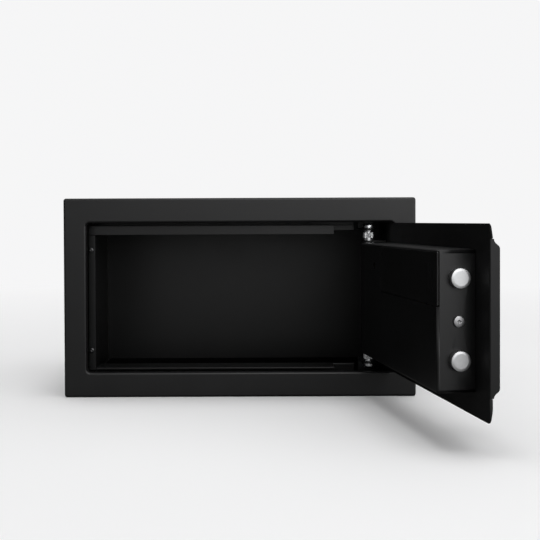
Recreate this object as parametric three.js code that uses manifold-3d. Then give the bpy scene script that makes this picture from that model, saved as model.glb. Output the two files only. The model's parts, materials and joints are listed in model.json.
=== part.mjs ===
// A small electronic safe: a steel cabinet with an inset door hinged on the right.
// Millimetres. X runs to the right, Y from the front face to the back, Z up.
// The door is modelled shut and then turned about its hinge line to where it stands open.

import * as THREE from 'three';
import { mergeVertices } from 'three/addons/utils/BufferGeometryUtils.js';
import Module from 'manifold-3d';

const wasm = await Module();
wasm.setup();

// Driving dimensions

const gap = 0.3;
const overrun = 4;
const weldDistance = 1e-5;

const cabinet = {
  width: 350,
  height: 198,
  depth: 250,
  sheet: 2,
  edgeRadius: 2.2,
  cornerRadius: 2.6,
  rearRound: 0.8,
  anchorHoleRadius: 5,
  anchorHoleSpacing: 220,
};

const frame = {
  leftBar: 22.6,
  rightBar: 21.7,
  topBar: 24.4,
  bottomBar: 24.5,
  openingRadius: 3.5,
  flangeDepth: 7,
  rimDepth: 8,
};

const stop = {
  sheet: 2,
  setback: 25,
  leftReach: 4.5,
  leftLip: 6.7,
  sideRun: 20,
  topReach: 12.5,
  topLip: 9.4,
  bottomReach: 1.2,
  run: 31,
  notchSetback: 25,
  notchLip: 5.5,
  notchFromHinge: 34.5,
  hingeMargin: 12,
  screwHeadRadius: 2.4,
  screwHeadHeight: 1.3,
  screwRadius: 1.3,
  screwLength: 7,
  screwFromEdge: 2.8,
  screwFromEnd: 15,
  screwFromFloorEnd: 20,
};

// Screw heads from crown to seat, as shares of the head's radius and height
const panHeadShares = [[0, 0], [0.6, 0.11], [0.9, 0.44], [1, 1]];
const domeHeadShares = [[0, 0], [0.5, 0.05], [0.86, 0.28], [1, 0.65], [1, 1]];

const mat = {
  thickness: 2,
  margin: 4,
  anchorHoleRadius: 8,
};

const hinge = {
  fromSide: 45,
  setback: 18.8,
  belowTop: 6.6,
  sheet: 1.8,
  width: 16,
  run: 34,
  shankRadius: 4,
  headRadius: 5.9,
  headHeight: 3.9,
  washerRadius: 5.9,
  washerThickness: 1,
  sleeveRadius: 5.8,
  sleeveFluteDepth: 0.6,
  sleeveLength: 8.5,
  clipRadius: 5.7,
  clipThickness: 1.2,
  shankEnd: 1,
  earFlange: 13,
};
const sleeveFlutes = 18;

const door = {
  freeGap: 1.5,
  hingeGap: 2.8,
  topGap: 0.8,
  bottomGap: 1.4,
  thickness: 2.4,
  edgeThickness: 0.9,
  bevelRun: 10,
  cornerRadius: 3.5,
  edgeRound: 1.2,
};
const doorOpenDegrees = 99;

const fascia = {
  rise: 5.5,
  wall: 2,
  foot: 0.5,
  stepRun: 8,
  topMargin: 11.3,
  bottomMargin: 18.6,
  hingeMargin: 50.5,
  edgeRound: 0.9,
  wrap: 1.2,
};

const cover = {
  endMargin: 28,
  hingeMargin: 44.5,
  topMargin: 19.7,
  bottomMargin: 18.2,
  depth: 30.7,
  wall: 1.2,
  cornerRadius: 3,
  edgeRound: 2.3,
  screwHeadRadius: 4,
  screwHeadHeight: 2.1,
  screwRadius: 1.9,
  screwLength: 9,
  screwCrossWidth: 1.3,
  screwCrossDepth: 1.1,
  screwCrossShare: 0.55,
};

const bolt = {
  radius: 7.75,
  chamfer: 1.3,
  length: 49,
  spigotRadius: 4,
  standoff: 13.5,
  showing: 6,
  stroke: 30,
  aboveScrewShare: 0.3018,
  belowScrewShare: 0.2706,
};

const carriage = {
  sheet: 2,
  clearBase: 1.3,
  railMargin: 11.5,
  tongueHeight: 24,
  slotMargin: 8,
};

const base = {
  sheet: 1.5,
  margin: 2.7,
  flangeDepth: 25,
  postRadius: 2.6,
};

const knob = {
  fromEnd: 68,
  aboveBase: 52.3,
  spindleRadius: 4,
  hubRadius: 7,
  crankWidth: 10,
  crankThickness: 2,
  pinRadius: 2.5,
  pinSlack: 0.8,
  skirtRadius: 17,
  skirtThickness: 3.4,
  skirtBevelShare: 0.6,
  skirtTopShare: 0.95,
  gripLength: 30,
  gripWidth: 9,
  gripHeight: 12.5,
  gripRound: 1.6,
  gripCornerShare: 0.4,
};
const knobTurnDegrees = 90;

const lid = {
  thickness: 1.9,
  beforeReset: 19.75,
  height: 41.3,
  round: 0.9,
  cornerRadius: 1.2,
  grooveWidth: 1.6,
  grooveDepth: 0.7,
  groovePitch: 4,
  grooveLength: 22,
  grooveFromEnd: 12,
};
const lidGrooves = 4;

const cell = {
  radius: 7.1,
  length: 49.2,
  capRadius: 2.7,
  capLength: 1.1,
  pitch: 16.4,
  spacing: 1.2,
  endRoundShare: 0.1,
};
const cellRows = 2;
const cellColumns = 2;

const tray = {
  wall: 1.2,
  floor: 1.2,
  wallHeight: 11,
  legRadius: 3,
  fromCarriage: 3,
};

const board = {
  width: 54,
  height: 46,
  thickness: 1.6,
  fromTop: 5,
  fromHinge: 8,
  setback: 9.5,
  partRise: 2.5,
};

// Parts on the board: left, bottom, width and height as shares of the board's sides
const boardPartShares = [
  [0.52, 0.42, 0.3, 0.16],
  [0.12, 0.12, 0.14, 0.2],
  [0.6, 0.12, 0.24, 0.1],
];

const reset = {
  holeRadius: 3.25,
  radius: 2.5,
  collarRadius: 3.6,
  collarHeight: 2.2,
  fromBoardEnd: 15.9,
  belowBoardTop: 11.4,
  sunk: 1.4,
  travel: 1,
};

const solenoid = {
  width: 20,
  height: 13.5,
  depth: 15,
  plungerRadius: 2.6,
  plungerReach: 3.5,
  clearTongue: 0.4,
  fromSpindle: 5,
  travel: 4,
};

const keylock = {
  fromSpindle: 38,
  bodyRadius: 7.5,
  plugRadius: 4.4,
  bodyDepth: 11,
  keywayWidth: 1.6,
  keywayHeight: 6,
  keywayDepth: 5,
  camLength: 13,
  camWidth: 7,
  camThickness: 1.6,
  coverRadius: 8.6,
  coverThickness: 1.9,
  coverRound: 0.7,
  pivotAbove: 12,
  pivotRadius: 1.5,
  pivotEarRadius: 4.2,
};

const keypad = {
  fromKeylock: 41,
  keyWidth: 11.6,
  keyHeight: 9.6,
  keyRound: 1.8,
  keyEdge: 0.5,
  pitchX: 15,
  pitchZ: 13,
  border: 5,
  header: 9,
  plateRise: 1.6,
  plateRound: 0.5,
  cornerRadius: 4,
  keyRise: 1.1,
  keyFlange: 0.7,
  keyFlangeThickness: 0.8,
  stemWidth: 3,
  travel: 1,
  boardThickness: 0.8,
  lensRadius: 1.6,
  lensRise: 0.5,
  lensPitch: 14,
};
const lensCrownShares = [[0, 0], [0.7, 0.25], [1, 1]];
const keyColumns = 3;
const keyRows = 4;

// Places that follow from the sizes

const opening = {
  left: -cabinet.width / 2 + frame.leftBar,
  right: cabinet.width / 2 - frame.rightBar,
  bottom: frame.bottomBar,
  top: cabinet.height - frame.topBar,
};

const inside = {
  left: -cabinet.width / 2 + cabinet.sheet + gap,
  right: cabinet.width / 2 - cabinet.sheet - gap,
  bottom: cabinet.sheet + gap,
  top: cabinet.height - cabinet.sheet - gap,
};

const pivot = {
  x: cabinet.width / 2 - hinge.fromSide,
  y: hinge.setback,
};

const leaf = {
  left: opening.left + door.freeGap,
  right: opening.right - door.hingeGap,
  bottom: opening.bottom + door.bottomGap,
  top: opening.top - door.topGap,
  back: door.thickness,
};

const panel = {
  left: leaf.left,
  right: leaf.right - fascia.hingeMargin,
  bottom: leaf.bottom + fascia.bottomMargin,
  top: leaf.top - fascia.topMargin,
  front: -gap - fascia.rise,
  inner: -gap - fascia.rise + fascia.wall,
};

const box = {
  left: leaf.left + cover.endMargin,
  right: leaf.right - cover.hingeMargin,
  bottom: leaf.bottom + cover.bottomMargin,
  top: leaf.top - cover.topMargin,
  front: leaf.back + gap,
  back: leaf.back + cover.depth,
};
box.middle = (box.bottom + box.top) / 2;

const lock = {
  left: box.left + cover.wall + gap,
  right: box.right - cover.wall - base.margin,
  bottom: box.bottom + cover.wall + base.margin,
  top: box.top - cover.wall - base.margin,
  front: leaf.back + gap,
  back: leaf.back + gap + base.sheet,
};

const boardPlace = {
  right: lock.right - board.fromHinge,
  top: lock.top - board.fromTop,
  back: box.back - board.setback,
};
boardPlace.left = boardPlace.right - board.width;
boardPlace.bottom = boardPlace.top - board.height;
boardPlace.front = boardPlace.back - board.thickness;

const resetPlace = {
  x: boardPlace.left + reset.fromBoardEnd,
  z: boardPlace.top - reset.belowBoardTop,
};

const boltAxis = leaf.back + bolt.standoff;
const boltHeights = [
  box.middle - (box.top - box.bottom) * bolt.belowScrewShare,
  box.middle + (box.top - box.bottom) * bolt.aboveScrewShare,
];
const boltTip = box.left - bolt.showing;
const boltHeel = boltTip + bolt.length;

const spindle = {
  x: box.left + knob.fromEnd,
  z: lock.bottom + knob.aboveBase,
};
const halfTurn = THREE.MathUtils.degToRad(knobTurnDegrees / 2);
const crankRadius = bolt.stroke / (2 * Math.sin(halfTurn));

const rail = {
  left: boltHeel + gap,
  right: boltHeel + gap + carriage.sheet,
  front: lock.back + carriage.clearBase,
  back: lock.back + carriage.clearBase + carriage.sheet,
};
const slotX = spindle.x + bolt.stroke / 2;
const slot = {
  left: slotX - knob.pinRadius - knob.pinSlack,
  right: slotX + knob.pinRadius + knob.pinSlack,
  top: spindle.z - crankRadius * Math.cos(halfTurn) + knob.pinRadius + knob.pinSlack,
  bottom: spindle.z - crankRadius - knob.pinRadius - knob.pinSlack,
};
const tongue = {
  right: slot.right + carriage.slotMargin,
  middle: (slot.bottom + slot.top) / 2,
};
tongue.bottom = tongue.middle - carriage.tongueHeight / 2;
tongue.top = Math.min(
  tongue.middle + carriage.tongueHeight / 2,
  spindle.z - knob.spindleRadius - gap,
);

const keyhole = {
  x: spindle.x + keylock.fromSpindle,
  z: spindle.z,
};

const pad = {
  x: keyhole.x + keypad.fromKeylock,
  width: keyColumns * keypad.pitchX + 2 * keypad.border,
  height: keyRows * keypad.pitchZ + 2 * keypad.border + keypad.header,
  z: (panel.bottom + panel.top) / 2,
  front: panel.front - gap - keypad.plateRise,
};
pad.left = pad.x - pad.width / 2;
pad.right = pad.x + pad.width / 2;
pad.bottom = pad.z - pad.height / 2;
pad.top = pad.z + pad.height / 2;

// Shapes and solids

function clean(source) {
  const geometry = source.index ? source.toNonIndexed() : source.clone();
  geometry.deleteAttribute('normal');
  geometry.deleteAttribute('uv');
  return mergeVertices(geometry, weldDistance);
}

function solid(source) {
  const geometry = clean(source);
  const places = geometry.getAttribute('position').array;
  const index = geometry.getIndex().array;
  const corner = (i) => new THREE.Vector3().fromArray(places, 3 * i);
  const kept = [];
  let volume = 0;
  for (let i = 0; i < index.length; i += 3) {
    const [a, b, c] = [index[i], index[i + 1], index[i + 2]];
    if (a === b || b === c || c === a) continue;
    kept.push(a, b, c);
    volume += corner(a).dot(corner(b).cross(corner(c)));
  }
  if (volume < 0) kept.reverse();
  return new wasm.Manifold(new wasm.Mesh({
    numProp: 3,
    vertProperties: Float32Array.from(places),
    triVerts: Uint32Array.from(kept),
  }));
}

function geometryOf(body) {
  const mesh = body.getMesh();
  const geometry = new THREE.BufferGeometry();
  geometry.setAttribute('position', new THREE.BufferAttribute(mesh.vertProperties, 3));
  geometry.setIndex(new THREE.BufferAttribute(mesh.triVerts, 1));
  geometry.computeVertexNormals();
  return geometry;
}

function join(first, ...others) {
  return others.reduce((sum, other) => sum.add(other), first);
}

function cut(first, ...others) {
  return others.reduce((rest, other) => rest.subtract(other), first);
}

function block(x, y, z) {
  const [x0, x1] = [Math.min(...x), Math.max(...x)];
  const [y0, y1] = [Math.min(...y), Math.max(...y)];
  const [z0, z1] = [Math.min(...z), Math.max(...z)];
  const geometry = new THREE.BoxGeometry(x1 - x0, y1 - y0, z1 - z0);
  geometry.translate((x0 + x1) / 2, (y0 + y1) / 2, (z0 + z1) / 2);
  return solid(geometry);
}

// Round bars along each axis, given the two places on the other axes

function rodX(radius, x, y, z, sides = 24) {
  const geometry = new THREE.CylinderGeometry(radius, radius, Math.abs(x[1] - x[0]), sides);
  geometry.rotateZ(Math.PI / 2);
  geometry.translate((x[0] + x[1]) / 2, y, z);
  return solid(geometry);
}

function rodY(radius, x, y, z, sides = 24) {
  const geometry = new THREE.CylinderGeometry(radius, radius, Math.abs(y[1] - y[0]), sides);
  geometry.translate(x, (y[0] + y[1]) / 2, z);
  return solid(geometry);
}

function rodZ(radius, x, y, z, sides = 24) {
  const geometry = new THREE.CylinderGeometry(radius, radius, Math.abs(z[1] - z[0]), sides);
  geometry.rotateX(Math.PI / 2);
  geometry.translate(x, y, (z[0] + z[1]) / 2);
  return solid(geometry);
}

function outlineOf(points) {
  return new THREE.Shape(points.map(([a, b]) => new THREE.Vector2(a, b)));
}

function roundedOutline(a, b, radius, Kind = THREE.Shape) {
  const [a0, a1] = a;
  const [b0, b1] = b;
  const outline = new Kind();
  const quarter = Math.PI / 2;
  outline.moveTo(a0 + radius, b0);
  outline.absarc(a1 - radius, b0 + radius, radius, -quarter, 0);
  outline.absarc(a1 - radius, b1 - radius, radius, 0, quarter);
  outline.absarc(a0 + radius, b1 - radius, radius, quarter, 2 * quarter);
  outline.absarc(a0 + radius, b0 + radius, radius, 2 * quarter, 3 * quarter);
  return outline;
}

// An outline in X and Z swept along Y, with its long edges rounded by round

function slabY(outline, y, round = 0, arcSteps = 4, roundSteps = 3) {
  const geometry = new THREE.ExtrudeGeometry(outline, {
    depth: y[1] - y[0] - 2 * round,
    steps: 1,
    curveSegments: arcSteps,
    bevelEnabled: round > 0,
    bevelSize: round,
    bevelOffset: -round,
    bevelThickness: round,
    bevelSegments: roundSteps,
  });
  geometry.rotateX(Math.PI / 2);
  geometry.translate(0, y[1] - round, 0);
  return solid(geometry);
}

// An outline in Y and Z swept along X

function barX(outline, x, arcSteps = 6) {
  const geometry = new THREE.ExtrudeGeometry(outline, {
    depth: x[1] - x[0],
    steps: 1,
    curveSegments: arcSteps,
    bevelEnabled: false,
  });
  const turn = new THREE.Matrix4().makeBasis(
    new THREE.Vector3(0, 1, 0),
    new THREE.Vector3(0, 0, 1),
    new THREE.Vector3(1, 0, 0),
  );
  geometry.applyMatrix4(turn);
  geometry.translate(x[0], 0, 0);
  return solid(geometry);
}

// An outline in X and Y swept along Z

function barZ(outline, z, arcSteps = 6) {
  const [z0, z1] = [Math.min(...z), Math.max(...z)];
  const geometry = new THREE.ExtrudeGeometry(outline, {
    depth: z1 - z0,
    steps: 1,
    curveSegments: arcSteps,
    bevelEnabled: false,
  });
  geometry.translate(0, 0, z0);
  return solid(geometry);
}

// A turned shape, profile given as radius and height along Y

function turned(profile, sides = 32) {
  const points = profile.map(([radius, y]) => new THREE.Vector2(radius, y));
  return new THREE.LatheGeometry(points, sides);
}

// The outline of a screw's head, lens or the like, from its crown to its seat

function crown(shares, radius, face, seat) {
  return shares.map(([radiusShare, heightShare]) => [
    radius * radiusShare,
    face + (seat - face) * heightShare,
  ]);
}

// Finishes

function finish(color, roughness, metalness) {
  return new THREE.MeshStandardMaterial({ color, roughness, metalness });
}

const powderCoat = finish(0x1f2022, 0.55, 0.2);
const mouldedBlack = finish(0x18191b, 0.45, 0);
const liner = finish(0x121315, 0.95, 0);
const zinc = finish(0xc9ccce, 0.32, 1);
const blackSteel = finish(0x2a2b2d, 0.5, 0.8);
const bareSteel = finish(0x9a9da0, 0.4, 1);
const keyGrey = finish(0x3c3e41, 0.5, 0);
const cellSleeve = finish(0x3f6b4a, 0.4, 0.1);
const boardGreen = finish(0x1d5a36, 0.5, 0);
const coilCopper = finish(0xa0643a, 0.4, 0.6);
const brassMetal = finish(0xb9924d, 0.35, 1);
const lensGreen = finish(0x3fae5a, 0.25, 0);
const lensRed = finish(0xb23028, 0.25, 0);
const redCap = finish(0xa52a22, 0.5, 0);

function addPiece(group, name, body, material) {
  const mesh = new THREE.Mesh(geometryOf(body), material);
  mesh.name = name;
  group.add(mesh);
}

// Cabinet

function frontFrame() {
  const outer = roundedOutline(
    [-cabinet.width / 2, cabinet.width / 2],
    [0, cabinet.height],
    cabinet.cornerRadius,
  );
  outer.holes.push(roundedOutline(
    [opening.left, opening.right],
    [opening.bottom, opening.top],
    frame.openingRadius,
    THREE.Path,
  ));
  const face = slabY(outer, [0, frame.rimDepth + overrun], cabinet.edgeRadius);
  const channel = roundedOutline(
    [-cabinet.width / 2 + cabinet.sheet, cabinet.width / 2 - cabinet.sheet],
    [cabinet.sheet, cabinet.height - cabinet.sheet],
    cabinet.cornerRadius,
  );
  channel.holes.push(roundedOutline(
    [opening.left - cabinet.sheet, opening.right + cabinet.sheet],
    [opening.bottom - cabinet.sheet, opening.top + cabinet.sheet],
    frame.openingRadius + cabinet.sheet,
    THREE.Path,
  ));
  const pastFlange = roundedOutline(
    [opening.left - 2 * cabinet.sheet, opening.right + 2 * cabinet.sheet],
    [opening.bottom - 2 * cabinet.sheet, opening.top + 2 * cabinet.sheet],
    frame.openingRadius,
  );
  const ends = [frame.rimDepth, frame.rimDepth + 2 * overrun];
  const everyX = [-cabinet.width, cabinet.width];
  const everyZ = [-cabinet.height, 2 * cabinet.height];
  const cornerReach = frame.openingRadius + cabinet.sheet;
  return cut(
    face,
    slabY(channel, [cabinet.sheet, frame.rimDepth + overrun]),
    slabY(pastFlange, [frame.flangeDepth, frame.rimDepth + overrun]),
    block(everyX, ends, everyZ),
    block(
      [opening.right - cornerReach, opening.right + 2 * cabinet.sheet],
      [cabinet.sheet + gap, frame.rimDepth + overrun],
      [opening.bottom, opening.top],
    ),
  );
}

function cabinetShell() {
  const outer = roundedOutline(
    [-cabinet.width / 2, cabinet.width / 2],
    [0, cabinet.height],
    cabinet.cornerRadius,
  );
  outer.holes.push(roundedOutline(
    [-cabinet.width / 2 + cabinet.sheet, cabinet.width / 2 - cabinet.sheet],
    [cabinet.sheet, cabinet.height - cabinet.sheet],
    cabinet.rearRound,
    THREE.Path,
  ));
  const front = frame.rimDepth + gap;
  const tube = cut(
    slabY(outer, [front - overrun, cabinet.depth], cabinet.rearRound, 3, 1),
    block([-cabinet.width, cabinet.width], [0, front], [-cabinet.height, 2 * cabinet.height]),
  );
  return cut(tube, ...anchorHoles(cabinet.anchorHoleRadius, [-overrun, cabinet.sheet + overrun]));
}

function anchorHoles(radius, z) {
  return [-1, 1].map((side) => rodZ(
    radius,
    side * cabinet.anchorHoleSpacing / 2,
    cabinet.depth / 2,
    z,
  ));
}

function backPanel() {
  return block(
    [inside.left, inside.right],
    [cabinet.depth - cabinet.sheet, cabinet.depth],
    [inside.bottom, inside.top],
  );
}

function floorMat() {
  const front = stop.setback + stop.run + mat.margin;
  const outline = roundedOutline(
    [inside.left + mat.margin, inside.right - mat.margin],
    [front, cabinet.depth - cabinet.sheet - mat.margin],
    mat.margin,
  );
  const z = [inside.bottom, inside.bottom + mat.thickness];
  return cut(
    barZ(outline, z),
    ...anchorHoles(mat.anchorHoleRadius, [z[0] - overrun, z[1] + overrun]),
  );
}

// Door stops: folded channels welded behind the opening

const leftLip = {
  outer: opening.left + stop.leftReach - stop.leftLip,
  inner: opening.left + stop.leftReach,
};
const topLip = {
  bottom: opening.top - stop.topReach,
  top: opening.top - stop.topReach + stop.topLip,
};
const bottomLip = {
  top: opening.bottom + stop.bottomReach,
  bottom: opening.bottom + stop.bottomReach - stop.sheet,
};
const stopFront = stop.setback;
const stopBack = stop.setback + stop.run;
const notchFront = stop.setback + stop.notchSetback;
const notchLeft = pivot.x - stop.notchFromHinge;
const notchRight = pivot.x - stop.hingeMargin;
const stopScrewX = leftLip.outer + stop.screwFromEdge;
const stopScrewHeights = {
  stop_screw_lower: bottomLip.bottom + stop.screwFromFloorEnd,
  stop_screw_upper: topLip.bottom - stop.screwFromEnd,
};

function leftStop() {
  const t = stop.sheet;
  const rear = stop.setback + stop.sideRun;
  const profile = outlineOf([
    [leftLip.outer, stopFront],
    [leftLip.inner, stopFront],
    [leftLip.inner, rear],
    [inside.left, rear],
    [inside.left, rear - t],
    [leftLip.inner - t, rear - t],
    [leftLip.inner - t, stopFront + t],
    [leftLip.outer, stopFront + t],
  ]);
  const channel = barZ(profile, [bottomLip.bottom, topLip.bottom - gap]);
  const holes = Object.values(stopScrewHeights).map((z) => rodY(
    stop.screwRadius + gap,
    stopScrewX,
    [stopFront - overrun, stopFront + t + gap],
    z,
    16,
  ));
  return cut(channel, ...holes);
}

function topStop() {
  const t = stop.sheet;
  const main = outlineOf([
    [stopFront, topLip.top],
    [stopFront, topLip.bottom],
    [stopBack, topLip.bottom],
    [stopBack, inside.top],
    [stopBack - t, inside.top],
    [stopBack - t, topLip.bottom + t],
    [stopFront + t, topLip.bottom + t],
    [stopFront + t, topLip.top],
  ]);
  const shelf = topLip.top - stop.notchLip;
  const notch = outlineOf([
    [notchFront, topLip.top],
    [notchFront, shelf],
    [stopBack, shelf],
    [stopBack, inside.top],
    [stopBack - t, inside.top],
    [stopBack - t, shelf + t],
    [notchFront + t, shelf + t],
    [notchFront + t, topLip.top],
  ]);
  return join(
    barX(main, [leftLip.outer, notchLeft]),
    barX(notch, [notchLeft - t, notchRight]),
  );
}

function bottomStop() {
  const t = stop.sheet;
  const profile = (front) => outlineOf([
    [front, bottomLip.top],
    [front, bottomLip.bottom],
    [stopBack - t, bottomLip.bottom],
    [stopBack - t, inside.bottom],
    [stopBack, inside.bottom],
    [stopBack, bottomLip.top],
  ]);
  return join(
    barX(profile(stopFront), [leftLip.inner + gap, notchLeft]),
    barX(profile(notchFront), [notchLeft - t, notchRight]),
  );
}

// A pan-head screw along Y, its head towards the front

function stopScrew(z) {
  const headBack = stopFront - gap;
  const headFront = headBack - stop.screwHeadHeight;
  const head = turned([
    ...crown(panHeadShares, stop.screwHeadRadius, headFront, headBack),
    [stop.screwRadius, headBack],
    [stop.screwRadius, headFront + stop.screwLength],
    [0, headFront + stop.screwLength],
  ], 16);
  head.translate(stopScrewX, 0, z);
  return solid(head);
}

// Hinges. Heights are worked out for the upper one; the lower one mirrors them.

const sides = ['upper', 'lower'];
const mirrorHeight = (side, z) => (side === 'upper' ? z : opening.bottom + opening.top - z);
const bracketTop = opening.top - hinge.belowTop;
const stack = {
  bracket: [bracketTop - hinge.sheet, bracketTop],
};
stack.washer = [
  stack.bracket[0] - gap - hinge.washerThickness,
  stack.bracket[0] - gap,
];
stack.sleeve = [
  stack.washer[0] - gap - hinge.sleeveLength,
  stack.washer[0] - gap,
];
stack.ear = [
  stack.sleeve[0] - gap - hinge.sheet,
  stack.sleeve[0] - gap,
];
stack.clip = [
  stack.ear[0] - gap - hinge.clipThickness,
  stack.ear[0] - gap,
];

function heights(side, pair) {
  return pair.map((z) => mirrorHeight(side, z)).sort((a, b) => a - b);
}

function tabOutline(y) {
  const half = hinge.width / 2;
  const round = new THREE.Shape();
  const out = Math.sign(y - pivot.y);
  round.moveTo(pivot.x - half, y);
  round.lineTo(pivot.x - half, pivot.y);
  round.absarc(pivot.x, pivot.y, half, Math.PI, 0, out < 0);
  round.lineTo(pivot.x + half, y);
  return round;
}

function hingeBracket(side) {
  const half = hinge.width / 2;
  const rear = pivot.y + hinge.run;
  const wall = side === 'upper' ? inside.top : inside.bottom;
  return cut(
    join(
      barZ(tabOutline(rear), heights(side, stack.bracket), 12),
      block(
        [pivot.x - half, pivot.x + half],
        [rear - hinge.sheet, rear],
        [mirrorHeight(side, stack.bracket[0]), wall],
      ),
    ),
    rodZ(hinge.shankRadius + gap, pivot.x, pivot.y, [0, cabinet.height], 24),
  );
}

function hingeEar(side) {
  const half = hinge.width / 2;
  const front = leaf.back + gap;
  const flange = [stack.ear[1], stack.ear[1] - hinge.earFlange];
  return cut(
    join(
      barZ(tabOutline(front), heights(side, stack.ear), 12),
      block(
        [pivot.x - half, pivot.x + half],
        [front, front + hinge.sheet],
        heights(side, flange),
      ),
    ),
    rodZ(hinge.shankRadius + gap, pivot.x, pivot.y, [0, cabinet.height], 24),
  );
}

function hingeBolt(side) {
  const under = stack.bracket[1] + gap;
  const end = stack.clip[0] - hinge.shankEnd;
  const profile = [
    ...crown(domeHeadShares, hinge.headRadius, under + hinge.headHeight, under),
    [hinge.shankRadius, under],
    [hinge.shankRadius, end],
    [0, end],
  ];
  const geometry = turned(profile, 24);
  geometry.rotateX(Math.PI / 2);
  if (side === 'lower') {
    geometry.rotateX(Math.PI);
    geometry.translate(0, 0, opening.bottom + opening.top);
  }
  geometry.translate(pivot.x, pivot.y, 0);
  return solid(geometry);
}

function ring(side, radius, pair, segments = 24) {
  const z = heights(side, pair);
  return cut(
    rodZ(radius, pivot.x, pivot.y, z, segments),
    rodZ(hinge.shankRadius + gap, pivot.x, pivot.y, [0, cabinet.height], 24),
  );
}

function hingeSleeve(side) {
  const points = [];
  for (let i = 0; i < 2 * sleeveFlutes; i += 1) {
    const angle = Math.PI * i / sleeveFlutes;
    const radius = hinge.sleeveRadius - (i % 2) * hinge.sleeveFluteDepth;
    points.push([
      pivot.x + radius * Math.cos(angle),
      pivot.y + radius * Math.sin(angle),
    ]);
  }
  return cut(
    barZ(outlineOf(points), heights(side, stack.sleeve)),
    rodZ(hinge.shankRadius + gap, pivot.x, pivot.y, [0, cabinet.height], 24),
  );
}

// Door leaf

function planOutline(right, y) {
  const outline = new THREE.Shape();
  const r = door.edgeRound;
  outline.moveTo(leaf.left, y[0]);
  outline.lineTo(right, y[0]);
  outline.lineTo(right, y[1]);
  outline.lineTo(leaf.left + r, y[1]);
  outline.absarc(leaf.left + r, y[1] - r, r, Math.PI / 2, Math.PI);
  return outline;
}

function doorPlate() {
  const edgeFront = leaf.back - door.edgeThickness;
  const section = outlineOf([
    [leaf.back, leaf.bottom],
    [leaf.back, leaf.top],
    [edgeFront, leaf.top],
    [0, leaf.top - door.bevelRun],
    [0, leaf.bottom + door.bevelRun],
    [edgeFront, leaf.bottom],
  ]);
  const face = roundedOutline(
    [leaf.left, leaf.right],
    [leaf.bottom, leaf.top],
    door.cornerRadius,
  );
  const plan = planOutline(leaf.right, [-overrun, leaf.back]);
  const plate = barX(section, [leaf.left, leaf.right])
    .intersect(slabY(face, [-overrun, leaf.back + overrun]))
    .intersect(barZ(plan, [0, cabinet.height]));
  const through = [-overrun, leaf.back + overrun];
  return cut(
    plate,
    block(
      [leaf.left - overrun, leaf.left + fascia.wrap + gap],
      through,
      [panel.bottom - gap, panel.top + gap],
    ),
    rodY(knob.spindleRadius + gap, spindle.x, through, spindle.z),
    rodY(keylock.bodyRadius + gap, keyhole.x, through, keyhole.z),
  );
}

function fasciaSection() {
  const outline = new THREE.Shape();
  const foot = -gap - fascia.foot;
  const run = fascia.stepRun;
  const front = panel.front;
  outline.moveTo(leaf.back, panel.bottom);
  outline.lineTo(leaf.back, panel.top);
  outline.lineTo(foot, panel.top);
  outline.bezierCurveTo(
    foot,
    panel.top - run / 2,
    front,
    panel.top - run / 2,
    front,
    panel.top - run,
  );
  outline.lineTo(front, panel.bottom + run);
  outline.bezierCurveTo(
    front,
    panel.bottom + run / 2,
    foot,
    panel.bottom + run / 2,
    foot,
    panel.bottom,
  );
  return outline;
}

function fasciaPlan() {
  const outline = new THREE.Shape();
  const foot = -gap - fascia.foot;
  const run = fascia.stepRun;
  const front = panel.front;
  const r = fascia.edgeRound;
  const rear = door.edgeRound;
  outline.moveTo(panel.left, leaf.back - rear);
  outline.lineTo(panel.left, front + r);
  outline.absarc(panel.left + r, front + r, r, Math.PI, 1.5 * Math.PI);
  outline.lineTo(panel.right - run, front);
  outline.bezierCurveTo(
    panel.right - run / 2,
    front,
    panel.right - run / 2,
    foot,
    panel.right,
    foot,
  );
  outline.lineTo(panel.right, -gap);
  outline.lineTo(panel.left + fascia.wrap, -gap);
  outline.lineTo(panel.left + fascia.wrap, leaf.back);
  outline.absarc(panel.left + rear, leaf.back - rear, rear, Math.PI / 2, Math.PI);
  return outline;
}

function frontFascia() {
  const run = fascia.stepRun;
  const shell = barX(fasciaSection(), [panel.left, panel.right])
    .intersect(barZ(fasciaPlan(), [0, cabinet.height]));
  const hollow = roundedOutline(
    [panel.left + run, panel.right - run],
    [panel.bottom + run, panel.top - run],
    fascia.wall,
  );
  const through = [panel.front - overrun, leaf.back];
  const window = roundedOutline(
    [pad.left + keypad.border, pad.right - keypad.border],
    [pad.bottom + keypad.border, pad.top - keypad.border - keypad.header],
    keypad.keyRound,
  );
  return cut(
    shell,
    slabY(hollow, [panel.inner, leaf.back]),
    slabY(window, through),
    rodY(knob.spindleRadius + gap, spindle.x, through, spindle.z),
    rodY(keylock.plugRadius + gap, keyhole.x, through, keyhole.z),
    rodY(keylock.pivotRadius + gap, keyhole.x, through, keyhole.z + keylock.pivotAbove, 16),
    ...lensPlaces.map(([x, z]) => rodY(keypad.lensRadius + gap, x, through, z, 16)),
  );
}

// Lock cover and its screw

const lidSeat = {
  right: resetPlace.x - reset.holeRadius - lid.beforeReset,
  top: box.top - cover.wall - gap,
  bottom: box.top - cover.wall - gap - lid.height,
  front: box.back - lid.thickness,
};

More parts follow.
